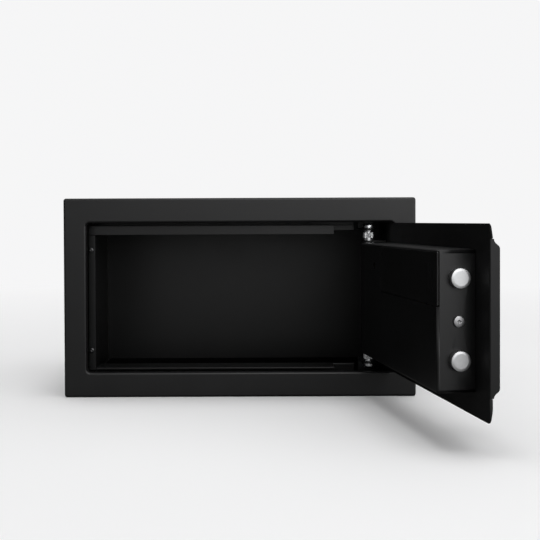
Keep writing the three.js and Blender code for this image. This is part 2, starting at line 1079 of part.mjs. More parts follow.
function lockCover() {
  const outer = roundedOutline([box.left, box.right], [box.bottom, box.top], cover.cornerRadius);
  const inner = roundedOutline(
    [box.left + cover.wall, box.right - cover.wall],
    [box.bottom + cover.wall, box.top - cover.wall],
    cover.cornerRadius - cover.wall,
  );
  const body = slabY(outer, [box.front - overrun, box.back], cover.edgeRound);
  const everyX = [-cabinet.width, cabinet.width];
  const everyZ = [0, cabinet.height];
  const endWall = [box.left - overrun, lock.left];
  return cut(
    body,
    block(everyX, [box.front - 2 * overrun, box.front], everyZ),
    slabY(inner, [box.front - overrun, box.back - cover.wall]),
    block(
      [box.left - overrun, lidSeat.right + gap],
      [lidSeat.front - gap, box.back + overrun],
      [lidSeat.bottom - gap, lidSeat.top + gap],
    ),
    ...boltHeights.map((z) => rodX(bolt.radius + gap, endWall, boltAxis, z, 32)),
    rodX(cover.screwRadius + gap, endWall, boltAxis, box.middle, 20),
    rodY(
      reset.holeRadius,
      resetPlace.x,
      [box.back - cover.wall - overrun, box.back + overrun],
      resetPlace.z,
    ),
  );
}

function coverScrew() {
  const seat = box.left - gap;
  const tip = seat + cover.screwLength;
  const face = seat - cover.screwHeadHeight;
  const profile = turned([
    ...crown(panHeadShares, cover.screwHeadRadius, face, seat),
    [cover.screwRadius, seat],
    [cover.screwRadius, tip],
    [0, tip],
  ], 28);
  profile.rotateZ(-Math.PI / 2);
  profile.translate(0, boltAxis, box.middle);
  const half = cover.screwCrossWidth / 2;
  const arm = cover.screwHeadRadius * cover.screwCrossShare;
  const deep = [face - overrun, face + cover.screwCrossDepth];
  return cut(
    solid(profile),
    block(deep, [boltAxis - half, boltAxis + half], [box.middle - arm, box.middle + arm]),
    block(deep, [boltAxis - arm, boltAxis + arm], [box.middle - half, box.middle + half]),
  );
}

// Mechanism plate: screwed flat on the door, with an end flange that guides the bolts

function boardPosts() {
  const inset = 2 * base.postRadius;
  const posts = [];
  for (const x of [boardPlace.left + inset, boardPlace.right - inset]) {
    for (const z of [boardPlace.bottom + inset, boardPlace.top - inset]) {
      posts.push(rodY(base.postRadius, x, [lock.front, boardPlace.front - gap], z, 10));
    }
  }
  return posts;
}

function lockBase() {
  const plate = block([lock.left, lock.right], [lock.front, lock.back], [lock.bottom, lock.top]);
  const flange = block(
    [lock.left, lock.left + base.sheet],
    [lock.front, lock.front + base.flangeDepth],
    [lock.bottom, lock.top],
  );
  const across = [lock.left - overrun, lock.left + base.sheet + overrun];
  const through = [lock.front - overrun, lock.back + overrun];
  return cut(
    join(plate, flange, ...boardPosts()),
    ...boltHeights.map((z) => rodX(bolt.radius + gap, across, boltAxis, z, 32)),
    rodX(cover.screwRadius + gap, across, boltAxis, box.middle, 20),
    rodY(knob.spindleRadius + gap, spindle.x, through, spindle.z),
    rodY(keylock.bodyRadius + gap, keyhole.x, through, keyhole.z),
  );
}

// Bolts and the carriage that joins them

function lockBolt(z) {
  const heel = boltHeel + gap + carriage.sheet + gap;
  const profile = turned([
    [0, boltTip],
    [bolt.radius - bolt.chamfer, boltTip],
    [bolt.radius, boltTip + bolt.chamfer],
    [bolt.radius, boltHeel],
    [bolt.spigotRadius, boltHeel],
    [bolt.spigotRadius, heel],
    [0, heel],
  ], 36);
  profile.rotateZ(-Math.PI / 2);
  profile.translate(0, boltAxis, z);
  return solid(profile);
}

function boltCarriage() {
  const rails = block(
    [rail.left, rail.right],
    [rail.front, boltAxis + bolt.radius],
    [boltHeights[0] - carriage.railMargin, boltHeights[1] + carriage.railMargin],
  );
  const plate = block([rail.left, tongue.right], [rail.front, rail.back], [tongue.bottom, tongue.top]);
  const across = [rail.left - overrun, rail.right + overrun];
  return cut(
    join(rails, plate),
    ...boltHeights.map((z) => rodX(bolt.spigotRadius + gap, across, boltAxis, z)),
    block(
      [slot.left, slot.right],
      [rail.front - overrun, rail.back + overrun],
      [slot.bottom, slot.top],
    ),
  );
}

// Knob, with its spindle and crank. The crank's pin runs in the carriage's slot.

const crankFront = rail.back + gap;

function knobSpindle() {
  const back = crankFront + knob.crankThickness;
  const front = panel.front - knob.skirtThickness;
  const pin = new THREE.Vector2(
    spindle.x + crankRadius * Math.sin(halfTurn),
    spindle.z - crankRadius * Math.cos(halfTurn),
  );
  const arm = new THREE.BoxGeometry(knob.crankWidth, knob.crankThickness, crankRadius);
  arm.translate(0, 0, -crankRadius / 2);
  arm.rotateY(-halfTurn);
  arm.translate(spindle.x, (crankFront + back) / 2, spindle.z);
  return join(
    rodY(knob.spindleRadius, spindle.x, [front, back], spindle.z),
    rodY(knob.hubRadius, spindle.x, [crankFront, back], spindle.z),
    solid(arm),
    rodY(knob.crankWidth / 2, pin.x, [crankFront, back], pin.y),
    rodY(knob.pinRadius, pin.x, [rail.front, back], pin.y, 20),
  );
}

function knobBody() {
  const back = panel.front - gap;
  const face = back - knob.skirtThickness;
  const top = face - knob.gripHeight;
  const skirt = turned([
    [0, back],
    [knob.skirtRadius, back],
    [knob.skirtRadius, back - knob.skirtThickness * knob.skirtBevelShare],
    [knob.skirtRadius * knob.skirtTopShare, face],
    [0, face],
  ], 36);
  skirt.translate(spindle.x, 0, spindle.z);
  const half = knob.gripLength / 2;
  const grip = slabY(
    roundedOutline(
      [spindle.x - half, spindle.x + half],
      [spindle.z - knob.gripWidth / 2, spindle.z + knob.gripWidth / 2],
      knob.gripWidth * knob.gripCornerShare,
    ),
    [top, back - knob.skirtThickness / 2],
    knob.gripRound,
    3,
    2,
  );
  return cut(
    join(solid(skirt), grip),
    rodY(
      knob.spindleRadius + gap,
      spindle.x,
      [panel.front - knob.skirtThickness - gap, panel.front + overrun],
      spindle.z,
    ),
  );
}

// Battery tray, cells and lid

const trayPlace = {
  left: rail.right + tray.fromCarriage,
  back: lidSeat.front - 2 * gap,
};
const cells = {
  left: trayPlace.left + tray.wall,
  rowCentre: (lidSeat.bottom + lidSeat.top) / 2,
};
const cellRun = cell.length + cell.capLength + cell.spacing;
const cellStack = (cellRows - 1) * cell.pitch / 2 + cell.radius;
trayPlace.right = cells.left + cellColumns * cellRun + tray.wall;
trayPlace.bottom = cells.rowCentre - cellStack - gap - tray.wall;
trayPlace.top = cells.rowCentre + cellStack + gap + tray.wall;
const cellAxis = trayPlace.back - cell.radius;
trayPlace.floor = cellAxis - cell.radius - gap;
trayPlace.front = trayPlace.floor - tray.floor;

function batteryTray() {
  const x = [trayPlace.left, trayPlace.right];
  const z = [trayPlace.bottom, trayPlace.top];
  const legs = [];
  const inset = tray.legRadius + gap;
  for (const legX of [x[0] + inset, x[1] - inset]) {
    for (const legZ of [z[0] + inset, z[1] - inset]) {
      legs.push(rodY(tray.legRadius, legX, [lock.back + gap, trayPlace.floor], legZ, 10));
    }
  }
  const pocket = block(
    [x[0] + tray.wall, x[1] - tray.wall],
    [trayPlace.floor, trayPlace.floor + tray.wallHeight + overrun],
    [z[0] + tray.wall, z[1] - tray.wall],
  );
  const shell = block(x, [trayPlace.front, trayPlace.floor + tray.wallHeight], z);
  return join(cut(shell, pocket), ...legs);
}

function batteryCell(column, row, sign) {
  const left = cells.left + cell.spacing / 2 + column * cellRun;
  const round = cell.radius * cell.endRoundShare;
  const profile = turned([
    [0, 0],
    [cell.radius - round, 0],
    [cell.radius, round],
    [cell.radius, cell.length - round],
    [cell.radius - round, cell.length],
    [cell.capRadius, cell.length],
    [cell.capRadius, cell.length + cell.capLength],
    [0, cell.length + cell.capLength],
  ], 16);
  profile.rotateZ(-sign * Math.PI / 2);
  const start = sign > 0 ? left : left + cell.length + cell.capLength;
  const rowOffset = (row - (cellRows - 1) / 2) * cell.pitch;
  profile.translate(start, cellAxis, cells.rowCentre + rowOffset);
  return solid(profile);
}

function batteryLid() {
  const outline = roundedOutline(
    [box.left, lidSeat.right],
    [lidSeat.bottom, lidSeat.top],
    lid.cornerRadius,
  );
  const plate = cut(
    slabY(outline, [lidSeat.front - overrun, box.back], lid.round),
    block(
      [box.left - overrun, lidSeat.right + overrun],
      [lidSeat.front - 2 * overrun, lidSeat.front],
      [lidSeat.bottom - overrun, lidSeat.top + overrun],
    ),
  );
  const middle = (lidSeat.bottom + lidSeat.top) / 2;
  const grooves = [];
  for (let i = 0; i < lidGrooves; i += 1) {
    const x = box.left + lid.grooveFromEnd + i * lid.groovePitch;
    grooves.push(block(
      [x, x + lid.grooveWidth],
      [box.back - lid.grooveDepth, box.back + overrun],
      [middle - lid.grooveLength / 2, middle + lid.grooveLength / 2],
    ));
  }
  return cut(plate, ...grooves);
}

// Circuit board, with its larger parts, and the reset button

function circuitBoard() {
  const parts = boardPartShares.map(([leftShare, bottomShare, widthShare, heightShare]) => {
    const left = boardPlace.left + board.width * leftShare;
    const bottom = boardPlace.bottom + board.height * bottomShare;
    return block(
      [left, left + board.width * widthShare],
      [boardPlace.front, boardPlace.back + board.partRise],
      [bottom, bottom + board.height * heightShare],
    );
  });
  return join(
    block(
      [boardPlace.left, boardPlace.right],
      [boardPlace.front, boardPlace.back],
      [boardPlace.bottom, boardPlace.top],
    ),
    ...parts,
    rodY(
      reset.collarRadius,
      resetPlace.x,
      [boardPlace.front, boardPlace.back + reset.collarHeight],
      resetPlace.z,
      16,
    ),
  );
}

function resetButton() {
  return rodY(
    reset.radius,
    resetPlace.x,
    [boardPlace.back + reset.collarHeight + reset.travel + gap, box.back - reset.sunk],
    resetPlace.z,
    20,
  );
}

// Solenoid under the carriage's tongue

const solenoidPlace = {
  x: spindle.x + solenoid.fromSpindle,
  front: lock.back + gap,
};
solenoidPlace.plungerTop = tongue.bottom - solenoid.clearTongue;
solenoidPlace.top = solenoidPlace.plungerTop - solenoid.plungerReach - solenoid.travel - gap;
solenoidPlace.bottom = solenoidPlace.top - solenoid.height;
solenoidPlace.axis = solenoidPlace.front + solenoid.depth / 2;

function solenoidBody() {
  const half = solenoid.width / 2;
  const bore = rodZ(
    solenoid.plungerRadius + gap,
    solenoidPlace.x,
    solenoidPlace.axis,
    [solenoidPlace.bottom - overrun, solenoidPlace.top + overrun],
  );
  const yoke = block(
    [solenoidPlace.x - half, solenoidPlace.x + half],
    [solenoidPlace.front, solenoidPlace.front + solenoid.depth],
    [solenoidPlace.bottom, solenoidPlace.top],
  );
  return cut(yoke, bore);
}

function solenoidPlunger() {
  const nose = block(
    [solenoidPlace.x - solenoid.plungerRadius, solenoidPlace.x + solenoid.plungerRadius],
    [rail.front, solenoidPlace.axis],
    [solenoidPlace.plungerTop - solenoid.plungerReach, solenoidPlace.plungerTop],
  );
  return join(
    rodZ(
      solenoid.plungerRadius,
      solenoidPlace.x,
      solenoidPlace.axis,
      [solenoidPlace.bottom + solenoid.travel, solenoidPlace.plungerTop],
      20,
    ),
    nose,
  );
}

// Override key lock

const lockBack = leaf.back + keylock.bodyDepth;

function keyLockBody() {
  return cut(
    rodY(keylock.bodyRadius, keyhole.x, [panel.inner + gap, lockBack], keyhole.z, 32),
    rodY(keylock.plugRadius + gap, keyhole.x, [panel.front - overrun, lockBack + overrun], keyhole.z, 28),
  );
}

function keyPlug() {
  const camFront = lockBack + gap;
  const camBack = camFront + keylock.camThickness;
  const halfKeyway = keylock.keywayWidth / 2;
  const front = panel.front + gap;
  return cut(
    join(
      rodY(keylock.plugRadius, keyhole.x, [front, camBack], keyhole.z, 28),
      block(
        [keyhole.x - keylock.camWidth / 2, keyhole.x + keylock.camWidth / 2],
        [camFront, camBack],
        [keyhole.z - keylock.camLength, keyhole.z],
      ),
    ),
    block(
      [keyhole.x - halfKeyway, keyhole.x + halfKeyway],
      [front - overrun, front + keylock.keywayDepth],
      [keyhole.z - keylock.keywayHeight / 2, keyhole.z + keylock.keywayHeight / 2],
    ),
  );
}

function keyCover() {
  const back = panel.front - gap;
  const front = back - keylock.coverThickness;
  const outline = new THREE.Shape();
  const r = keylock.coverRadius;
  const s = keylock.pivotEarRadius;
  const lean = Math.asin((r - s) / keylock.pivotAbove);
  const pivotZ = keyhole.z + keylock.pivotAbove;
  outline.absarc(keyhole.x, keyhole.z, r, Math.PI - lean, lean);
  outline.absarc(keyhole.x, pivotZ, s, lean, Math.PI - lean);
  return join(
    slabY(outline, [front, back], keylock.coverRound, 10, 2),
    rodY(keylock.pivotRadius, keyhole.x, [front + keylock.coverRound, panel.inner + gap], pivotZ, 16),
  );
}

// Keypad: a plate with windows, one cap for each key, and the switch board behind them

const keyField = {
  bottom: pad.bottom + keypad.border,
  left: pad.left + keypad.border,
};
const lensPlaces = [-1, 1].map((side) => [
  pad.x + side * keypad.lensPitch / 2,
  pad.top - keypad.border - keypad.header / 2,
]);

const keypadBoardFront = -gap - keypad.boardThickness;

function keyCentre(column, row) {
  return [
    keyField.left + (column + 0.5) * keypad.pitchX,
    keyField.bottom + (keyRows - row - 0.5) * keypad.pitchZ,
  ];
}

function keyWindow(column, row) {
  const [x, z] = keyCentre(column, row);
  const halfWidth = keypad.keyWidth / 2 + gap;
  const halfHeight = keypad.keyHeight / 2 + gap;
  const outline = roundedOutline(
    [x - halfWidth, x + halfWidth],
    [z - halfHeight, z + halfHeight],
    keypad.keyRound,
  );
  return slabY(outline, [pad.front - overrun, panel.front + overrun], 0, 2);
}

function keypadFrame() {
  const outline = roundedOutline([pad.left, pad.right], [pad.bottom, pad.top], keypad.cornerRadius);
  const windows = [];
  for (let row = 0; row < keyRows; row += 1) {
    for (let column = 0; column < keyColumns; column += 1) {
      windows.push(keyWindow(column, row));
    }
  }
  const depth = [pad.front - overrun, panel.front];
  return cut(
    slabY(outline, [pad.front, panel.front - gap], keypad.plateRound),
    ...windows,
    ...lensPlaces.map(([x, z]) => rodY(keypad.lensRadius + gap, x, depth, z, 16)),
  );
}

function keyCap(column, row) {
  const [x, z] = keyCentre(column, row);
  const outline = (grow) => roundedOutline(
    [x - keypad.keyWidth / 2 - grow, x + keypad.keyWidth / 2 + grow],
    [z - keypad.keyHeight / 2 - grow, z + keypad.keyHeight / 2 + grow],
    keypad.keyRound,
  );
  const flangeFront = panel.front + gap;
  const flangeBack = flangeFront + keypad.keyFlangeThickness;
  const cap = cut(
    slabY(outline(0), [pad.front - keypad.keyRise, flangeBack + overrun], keypad.keyEdge, 2, 1),
    block(
      [x - keypad.pitchX, x + keypad.pitchX],
      [flangeBack, flangeBack + 2 * overrun],
      [z - keypad.pitchZ, z + keypad.pitchZ],
    ),
  );
  const stem = keypad.stemWidth / 2;
  const stemBack = keypadBoardFront - gap - keypad.travel;
  return join(
    cap,
    slabY(outline(keypad.keyFlange), [flangeFront, flangeBack], 0, 1),
    block([x - stem, x + stem], [flangeBack, stemBack], [z - stem, z + stem]),
  );
}

function keypadBoard() {
  return block(
    [keyField.left - keypad.border / 2, pad.right - keypad.border / 2],
    [keypadBoardFront, -gap],
    [keyField.bottom - keypad.border / 2, pad.top - keypad.border / 2],
  );
}

function lens([x, z]) {
  const front = pad.front - keypad.lensRise;
  const profile = turned([
    ...crown(lensCrownShares, keypad.lensRadius, front, pad.front),
    [keypad.lensRadius, keypadBoardFront - gap],
    [0, keypadBoardFront - gap],
  ], 12);
  profile.translate(x, 0, z);
  return solid(profile);
}

// Assembly. Depth is measured from the front face, and the origin is the base's centre.

const safe = new THREE.Group();
safe.position.y = -cabinet.depth / 2;

addPiece(safe, 'cabinet_shell', cabinetShell(), powderCoat);
addPiece(safe, 'front_frame', frontFrame(), powderCoat);
addPiece(safe, 'back_panel', backPanel(), powderCoat);
addPiece(safe, 'floor_mat', floorMat(), liner);
addPiece(safe, 'door_stop_left', leftStop(), powderCoat);
addPiece(safe, 'door_stop_top', topStop(), powderCoat);
addPiece(safe, 'door_stop_bottom', bottomStop(), powderCoat);
for (const [name, z] of Object.entries(stopScrewHeights)) {
  addPiece(safe, name, stopScrew(z), blackSteel);
}
for (const side of sides) {
  addPiece(safe, `hinge_bracket_${side}`, hingeBracket(side), powderCoat);
  addPiece(safe, `hinge_bolt_${side}`, hingeBolt(side), zinc);
  addPiece(safe, `hinge_washer_${side}`, ring(side, hinge.washerRadius, stack.washer), zinc);
  addPiece(safe, `hinge_sleeve_${side}`, hingeSleeve(side), zinc);
  addPiece(safe, `hinge_clip_${side}`, ring(side, hinge.clipRadius, stack.clip), zinc);
}

const swing = new THREE.Group();
swing.position.set(pivot.x, pivot.y, 0);
swing.rotation.z = THREE.MathUtils.degToRad(doorOpenDegrees);
safe.add(swing);

const leafGroup = new THREE.Group();
leafGroup.position.set(-pivot.x, -pivot.y, 0);
swing.add(leafGroup);

addPiece(leafGroup, 'door_plate', doorPlate(), powderCoat);
addPiece(leafGroup, 'front_fascia', frontFascia(), mouldedBlack);
for (const side of sides) {
  addPiece(leafGroup, `hinge_ear_${side}`, hingeEar(side), powderCoat);
}
addPiece(leafGroup, 'lock_cover', lockCover(), powderCoat);
addPiece(leafGroup, 'cover_screw', coverScrew(), zinc);
addPiece(leafGroup, 'lock_base', lockBase(), bareSteel);
addPiece(leafGroup, 'bolt_carriage', boltCarriage(), bareSteel);
addPiece(leafGroup, 'bolt_lower', lockBolt(boltHeights[0]), zinc);
addPiece(leafGroup, 'bolt_upper', lockBolt(boltHeights[1]), zinc);
addPiece(leafGroup, 'knob_spindle', knobSpindle(), bareSteel);
addPiece(leafGroup, 'knob', knobBody(), mouldedBlack);
addPiece(leafGroup, 'battery_tray', batteryTray(), mouldedBlack);
for (let row = 0; row < cellRows; row += 1) {
  for (let column = 0; column < cellColumns; column += 1) {
    const number = row * cellColumns + column + 1;
    const sign = row % 2 === 0 ? 1 : -1;
    addPiece(leafGroup, `battery_${number}`, batteryCell(column, row, sign), cellSleeve);
  }
}
addPiece(leafGroup, 'battery_lid', batteryLid(), powderCoat);
addPiece(leafGroup, 'circuit_board', circuitBoard(), boardGreen);
addPiece(leafGroup, 'reset_button', resetButton(), redCap);
addPiece(leafGroup, 'solenoid', solenoidBody(), coilCopper);
addPiece(leafGroup, 'solenoid_plunger', solenoidPlunger(), bareSteel);
addPiece(leafGroup, 'key_lock_body', keyLockBody(), brassMetal);
addPiece(leafGroup, 'key_plug', keyPlug(), brassMetal);
addPiece(leafGroup, 'key_cover', keyCover(), mouldedBlack);
addPiece(leafGroup, 'keypad_frame', keypadFrame(), mouldedBlack);
addPiece(leafGroup, 'keypad_board', keypadBoard(), boardGreen);
addPiece(leafGroup, 'lens_green', lens(lensPlaces[0]), lensGreen);
addPiece(leafGroup, 'lens_red', lens(lensPlaces[1]), lensRed);
for (let row = 0; row < keyRows; row += 1) {
  for (let column = 0; column < keyColumns; column += 1) {
    const number = row * keyColumns + column + 1;
    addPiece(leafGroup, `key_${String(number).padStart(2, '0')}`, keyCap(column, row), keyGrey);
  }
}

export default safe;
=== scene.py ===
"""Looks for a small electronic safe with its door open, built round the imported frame.

Metres, +X to the right, +Y from the front face to the back, +Z up.
Pieces of the door are built with the door shut and then turned to where it stands open.
"""

import json
import math

import bmesh
import bpy
from mathutils import Matrix, Vector


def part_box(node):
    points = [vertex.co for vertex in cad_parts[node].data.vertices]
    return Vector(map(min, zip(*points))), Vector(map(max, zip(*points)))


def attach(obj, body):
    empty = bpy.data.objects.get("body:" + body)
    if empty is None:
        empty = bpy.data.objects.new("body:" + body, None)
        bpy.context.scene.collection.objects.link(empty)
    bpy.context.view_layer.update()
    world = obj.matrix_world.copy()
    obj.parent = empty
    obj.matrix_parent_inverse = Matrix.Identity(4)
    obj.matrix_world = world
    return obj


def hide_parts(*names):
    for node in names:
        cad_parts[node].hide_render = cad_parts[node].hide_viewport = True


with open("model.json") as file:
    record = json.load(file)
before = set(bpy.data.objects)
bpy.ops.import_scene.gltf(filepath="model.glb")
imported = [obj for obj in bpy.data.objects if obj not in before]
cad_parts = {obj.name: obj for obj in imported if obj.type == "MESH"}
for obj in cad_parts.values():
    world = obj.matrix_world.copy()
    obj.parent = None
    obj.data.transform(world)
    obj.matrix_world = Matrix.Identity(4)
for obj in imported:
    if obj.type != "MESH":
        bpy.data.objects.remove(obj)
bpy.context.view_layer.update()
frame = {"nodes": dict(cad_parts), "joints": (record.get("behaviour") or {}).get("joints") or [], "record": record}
nodes = frame["nodes"]
body_of_node = {
    node: body
    for body, members in frame["record"]["behaviour"]["bodies"].items()
    for node in members
}

MM = 0.001
QUARTER = math.pi / 2

# Where the open door is

door_hinge = next(j for j in frame["joints"] if j["name"] == "door_hinge")
hinge_point = Vector(door_hinge["pos_m"])
open_angle = -math.radians(door_hinge["range_deg"][0])
OPENED = (
    Matrix.Translation(hinge_point)
    @ Matrix.Rotation(open_angle, 4, "Z")
    @ Matrix.Translation(-hinge_point)
)
FRONT = Vector((0, -1, 0))
INWARD = Vector((1, 0, 0))
UP = Vector((0, 0, 1))


def shut_box(node):
    """Lowest and highest corner of a node of the door, as it lies with the door shut."""
    shut = OPENED.inverted()
    points = [shut @ v.co for v in nodes[node].data.vertices]
    low = Vector([min(p[i] for p in points) for i in range(3)])
    high = Vector([max(p[i] for p in points) for i in range(3)])
    return low, high


def along(point, direction):
    """A place at point whose local Z runs along direction."""
    turn = Vector(direction).to_track_quat("Z", "Y").to_matrix().to_4x4()
    return Matrix.Translation(Vector(point)) @ turn


def facing_front(point):
    """A place at point whose local X runs to the right, Y up and Z out of the front."""
    return Matrix.Translation(Vector(point)) @ Matrix.Rotation(QUARTER, 4, "X")


# Materials


class Tree:
    """A node tree, with short calls to add to it."""

    def __init__(self, tree):
        self.tree = tree

    def add(self, kind, settings=None, **sockets):
        made = self.tree.nodes.new(kind)
        for key, value in (settings or {}).items():
            setattr(made, key, value)
        for key, value in sockets.items():
            self.plug(made.inputs[key.replace("_", " ")], value)
        return made

    def plug(self, socket, value):
        if isinstance(value, bpy.types.NodeSocket):
            self.tree.links.new(value, socket)
        else:
            socket.default_value = value

    def math(self, operation, first, second):
        made = self.add("ShaderNodeMath", {"operation": operation})
        self.plug(made.inputs[0], first)
        self.plug(made.inputs[1], second)
        return made.outputs["Value"]

    def between(self, factor, low, high, spread=(0.3, 0.7)):
        return self.add(
            "ShaderNodeMapRange",
            Value=factor,
            From_Min=spread[0],
            From_Max=spread[1],
            To_Min=low,
            To_Max=high,
        ).outputs["Result"]

    def axes(self, vector):
        """The X, Y and Z of a vector, as sockets by name."""
        return self.add("ShaderNodeSeparateXYZ", Vector=vector).outputs

    def emission(self, colour, strength=1.0):
        made = self.add("ShaderNodeEmission", Color=(*colour, 1), Strength=strength)
        return made.outputs["Emission"]

    def either(self, factor, first, second):
        """One shader where factor is 0, another where it is 1."""
        made = self.add("ShaderNodeMixShader", Fac=factor)
        self.plug(made.inputs[1], first)
        self.plug(made.inputs[2], second)
        return made.outputs["Shader"]


class Shader(Tree):
    """A material built round one Principled surface."""

    def __init__(self, name):
        self.material = bpy.data.materials.new(name)
        self.material.use_nodes = True
        super().__init__(self.material.node_tree)
        self.surface = self.tree.nodes["Principled BSDF"]
        self.place = self.add("ShaderNodeTexCoord").outputs["Object"]

    def set(self, **values):
        for key, value in values.items():
            self.plug(self.surface.inputs[key.replace("_", " ")], value)

    def noise(self, size, detail=3.0, roughness=0.55, stretch=(1, 1, 1), seed=0.0):
        """Noise whose features measure about size metres."""
        shift = self.add(
            "ShaderNodeMapping",
            Vector=self.place,
            Scale=stretch,
            Location=(seed, seed, seed),
        )
        return self.add(
            "ShaderNodeTexNoise",
            Vector=shift.outputs["Vector"],
            Scale=1 / size,
            Detail=detail,
            Roughness=roughness,
        ).outputs["Fac"]

    def tint(self, factor, dark, light, spread=(0.3, 0.7)):
        ramp = self.add("ShaderNodeValToRGB", Fac=factor)
        ramp.color_ramp.elements[0].position = spread[0]
        ramp.color_ramp.elements[0].color = (*dark, 1)
        ramp.color_ramp.elements[1].position = spread[1]
        ramp.color_ramp.elements[1].color = (*light, 1)
        return ramp.outputs["Color"]

    def bump(self, height, depth, under=None):
        made = self.add("ShaderNodeBump", Height=height, Distance=depth)
        if under is not None:
            self.plug(made.inputs["Normal"], under)
        return made.outputs["Normal"]


PEEL_GRAIN = 0.7 * MM
PEEL_DEPTH = 0.02 * MM
FINE_DEPTH = 0.008 * MM
COAT_HAZE = 40 * MM


def powder_coat(name, dark, light, rough, shine):
    """Baked powder: a fine orange-peel relief, with gloss and tone that drift over the sheet."""
    made = Shader(name)
    peel = made.noise(PEEL_GRAIN, detail=2)
    fine = made.noise(PEEL_GRAIN / 3, detail=2, seed=3)
    haze = made.noise(COAT_HAZE, detail=4, seed=7)
    relief = made.bump(peel, PEEL_DEPTH)
    relief = made.bump(fine, FINE_DEPTH, under=relief)
    made.set(
        Base_Color=made.tint(haze, dark, light),
        Roughness=made.between(haze, *rough),
        Specular_IOR_Level=shine,
        Normal=relief,
    )
    return made.material


SPARK_GRAIN = 0.35 * MM
SPARK_DEPTH = 0.02 * MM
PLASTIC_HAZE = 25 * MM


def moulded(name, dark, light, rough=(0.38, 0.5), shine=0.5):
    """Plastic with the fine spark texture of its mould."""
    made = Shader(name)
    spark = made.noise(SPARK_GRAIN, detail=3)
    haze = made.noise(PLASTIC_HAZE, detail=3, seed=2)
    made.set(
        Base_Color=made.tint(haze, dark, light),
        Roughness=made.between(haze, *rough),
        Specular_IOR_Level=shine,
        Normal=made.bump(spark, SPARK_DEPTH),
    )
    return made.material


FIBRE_SIZE = 1.1 * MM
CROSS_FIBRE_SIZE = 0.9 * MM
FELT_DEPTH = 0.6 * MM


def felt(name, dark, light):
    """Needled fibres that lie both ways across each other."""
    made = Shader(name)
    fibre = made.noise(FIBRE_SIZE, detail=6, roughness=0.75, stretch=(1, 3, 1))
    cross = made.noise(CROSS_FIBRE_SIZE, detail=6, roughness=0.75, stretch=(3, 1, 1), seed=5)
    weave = made.math("MULTIPLY", fibre, cross)
    made.set(
        Base_Color=made.tint(weave, dark, light, (0.15, 0.4)),
        Roughness=0.95,
        Specular_IOR_Level=0.1,
        Normal=made.bump(weave, FELT_DEPTH),
    )
    return made.material


RING_PITCH = 0.5 * MM
RING_DEPTH = 0.003 * MM
TURNED_CLOUD = 2.5 * MM
PIT_SIZE = 0.4 * MM
PIT_DEPTH = 0.006 * MM


def turned_metal(name, dark, light, rough):
    """Plated metal with the fine rings that turning leaves round local Z."""
    made = Shader(name)
    rings = made.add(
        "ShaderNodeTexWave",
        {"wave_type": "RINGS", "rings_direction": "Z"},
        Vector=made.place,
        Scale=1 / (RING_PITCH * math.tau),
        Distortion=1.5,
        Detail=2.0,
    ).outputs["Fac"]
    cloud = made.noise(TURNED_CLOUD, detail=4)
    pits = made.noise(PIT_SIZE, detail=3, seed=4)
    relief = made.bump(rings, RING_DEPTH)
    relief = made.bump(pits, PIT_DEPTH, under=relief)
    made.set(
        Metallic=1.0,
        Base_Color=made.tint(cloud, dark, light),
        Roughness=made.between(cloud, *rough),
        Normal=relief,
    )
    return made.material


PLATING_CLOUD = 1.5 * MM
PLATING_DEPTH = 0.01 * MM


def plated_metal(name, dark, light, rough, stretch=(1, 1, 1)):
    made = Shader(name)
    cloud = made.noise(PLATING_CLOUD, detail=5, stretch=stretch)
    made.set(
        Metallic=1.0,
        Base_Color=made.tint(cloud, dark, light),
        Roughness=made.between(cloud, *rough),
        Normal=made.bump(cloud, PLATING_DEPTH),
    )
    return made.material


TRACK_SIZE = 4 * MM
TRACK_EDGE = (0.04, 0.08)
TRACK_DEPTH = 0.05 * MM


def coated_board(name, dark, light):
    """A circuit board with tracks under its lacquer."""
    made = Shader(name)
    tracks = made.add(
        "ShaderNodeTexVoronoi",
        {"feature": "DISTANCE_TO_EDGE"},
        Vector=made.place,
        Scale=1 / TRACK_SIZE,
    ).outputs["Distance"]
    made.set(
        Base_Color=made.tint(tracks, light, dark, TRACK_EDGE),
        Roughness=0.35,
        Normal=made.bump(tracks, TRACK_DEPTH),
    )
    return made.material


LENS_CLOUD = 1.2 * MM


def lens_plastic(name, dark, light):
    made = Shader(name)
    cloud = made.noise(LENS_CLOUD)
    made.set(
        Base_Color=made.tint(cloud, dark, light),
        Roughness=made.between(cloud, 0.08, 0.16),
        Transmission_Weight=0.35,
        IOR=1.49,
    )
    return made.material


# A material takes its darkest and lightest colour, then its lowest and highest roughness.

SATIN = (0.365, 0.395)
MATT = (0.5, 0.56)
# Darker copies of the same powder coat are painted shade. They go on the cabinet's inside, the door stops, the
# hinge brackets, the lock cover, the battery lid and the door plate, which sit out of the light.
SHADED_BLACK = ((0.005, 0.0051, 0.0053), (0.007, 0.0071, 0.0074))

COAT = powder_coat("powder_coat", (0.009, 0.0091, 0.0094), (0.011, 0.0111, 0.0115), SATIN, 0.4)
SHADED_COAT = powder_coat("shaded_coat", *SHADED_BLACK, SATIN, 0.4)
SHADED_DOOR_COAT = powder_coat("shaded_door_coat", *SHADED_BLACK, MATT, 0.25)
FASCIA = moulded("fascia_plastic", (0.006, 0.0061, 0.0064), (0.008, 0.0081, 0.0085), shine=0.3)
KNOB_BLACK = moulded("knob_plastic", (0.010, 0.010, 0.0107), (0.014, 0.014, 0.0148))
KEY_GREY = moulded("key_plastic", (0.040, 0.041, 0.044), (0.052, 0.053, 0.057), (0.5, 0.6))
PRINT = moulded("white_print", (0.62, 0.62, 0.60), (0.72, 0.72, 0.70), (0.5, 0.6))
MAT = felt("needle_felt", (0.002, 0.002, 0.0022), (0.006, 0.006, 0.0063))
ZINC = turned_metal("turned_zinc", (0.50, 0.505, 0.51), (0.56, 0.565, 0.57), (0.3, 0.38))
BRIGHT_ZINC = plated_metal("bright_zinc", (0.78, 0.79, 0.80), (0.88, 0.89, 0.90), (0.22, 0.32))
DULL_ZINC = plated_metal("dull_zinc", (0.29, 0.29, 0.295), (0.4, 0.4, 0.405), (0.3, 0.42))
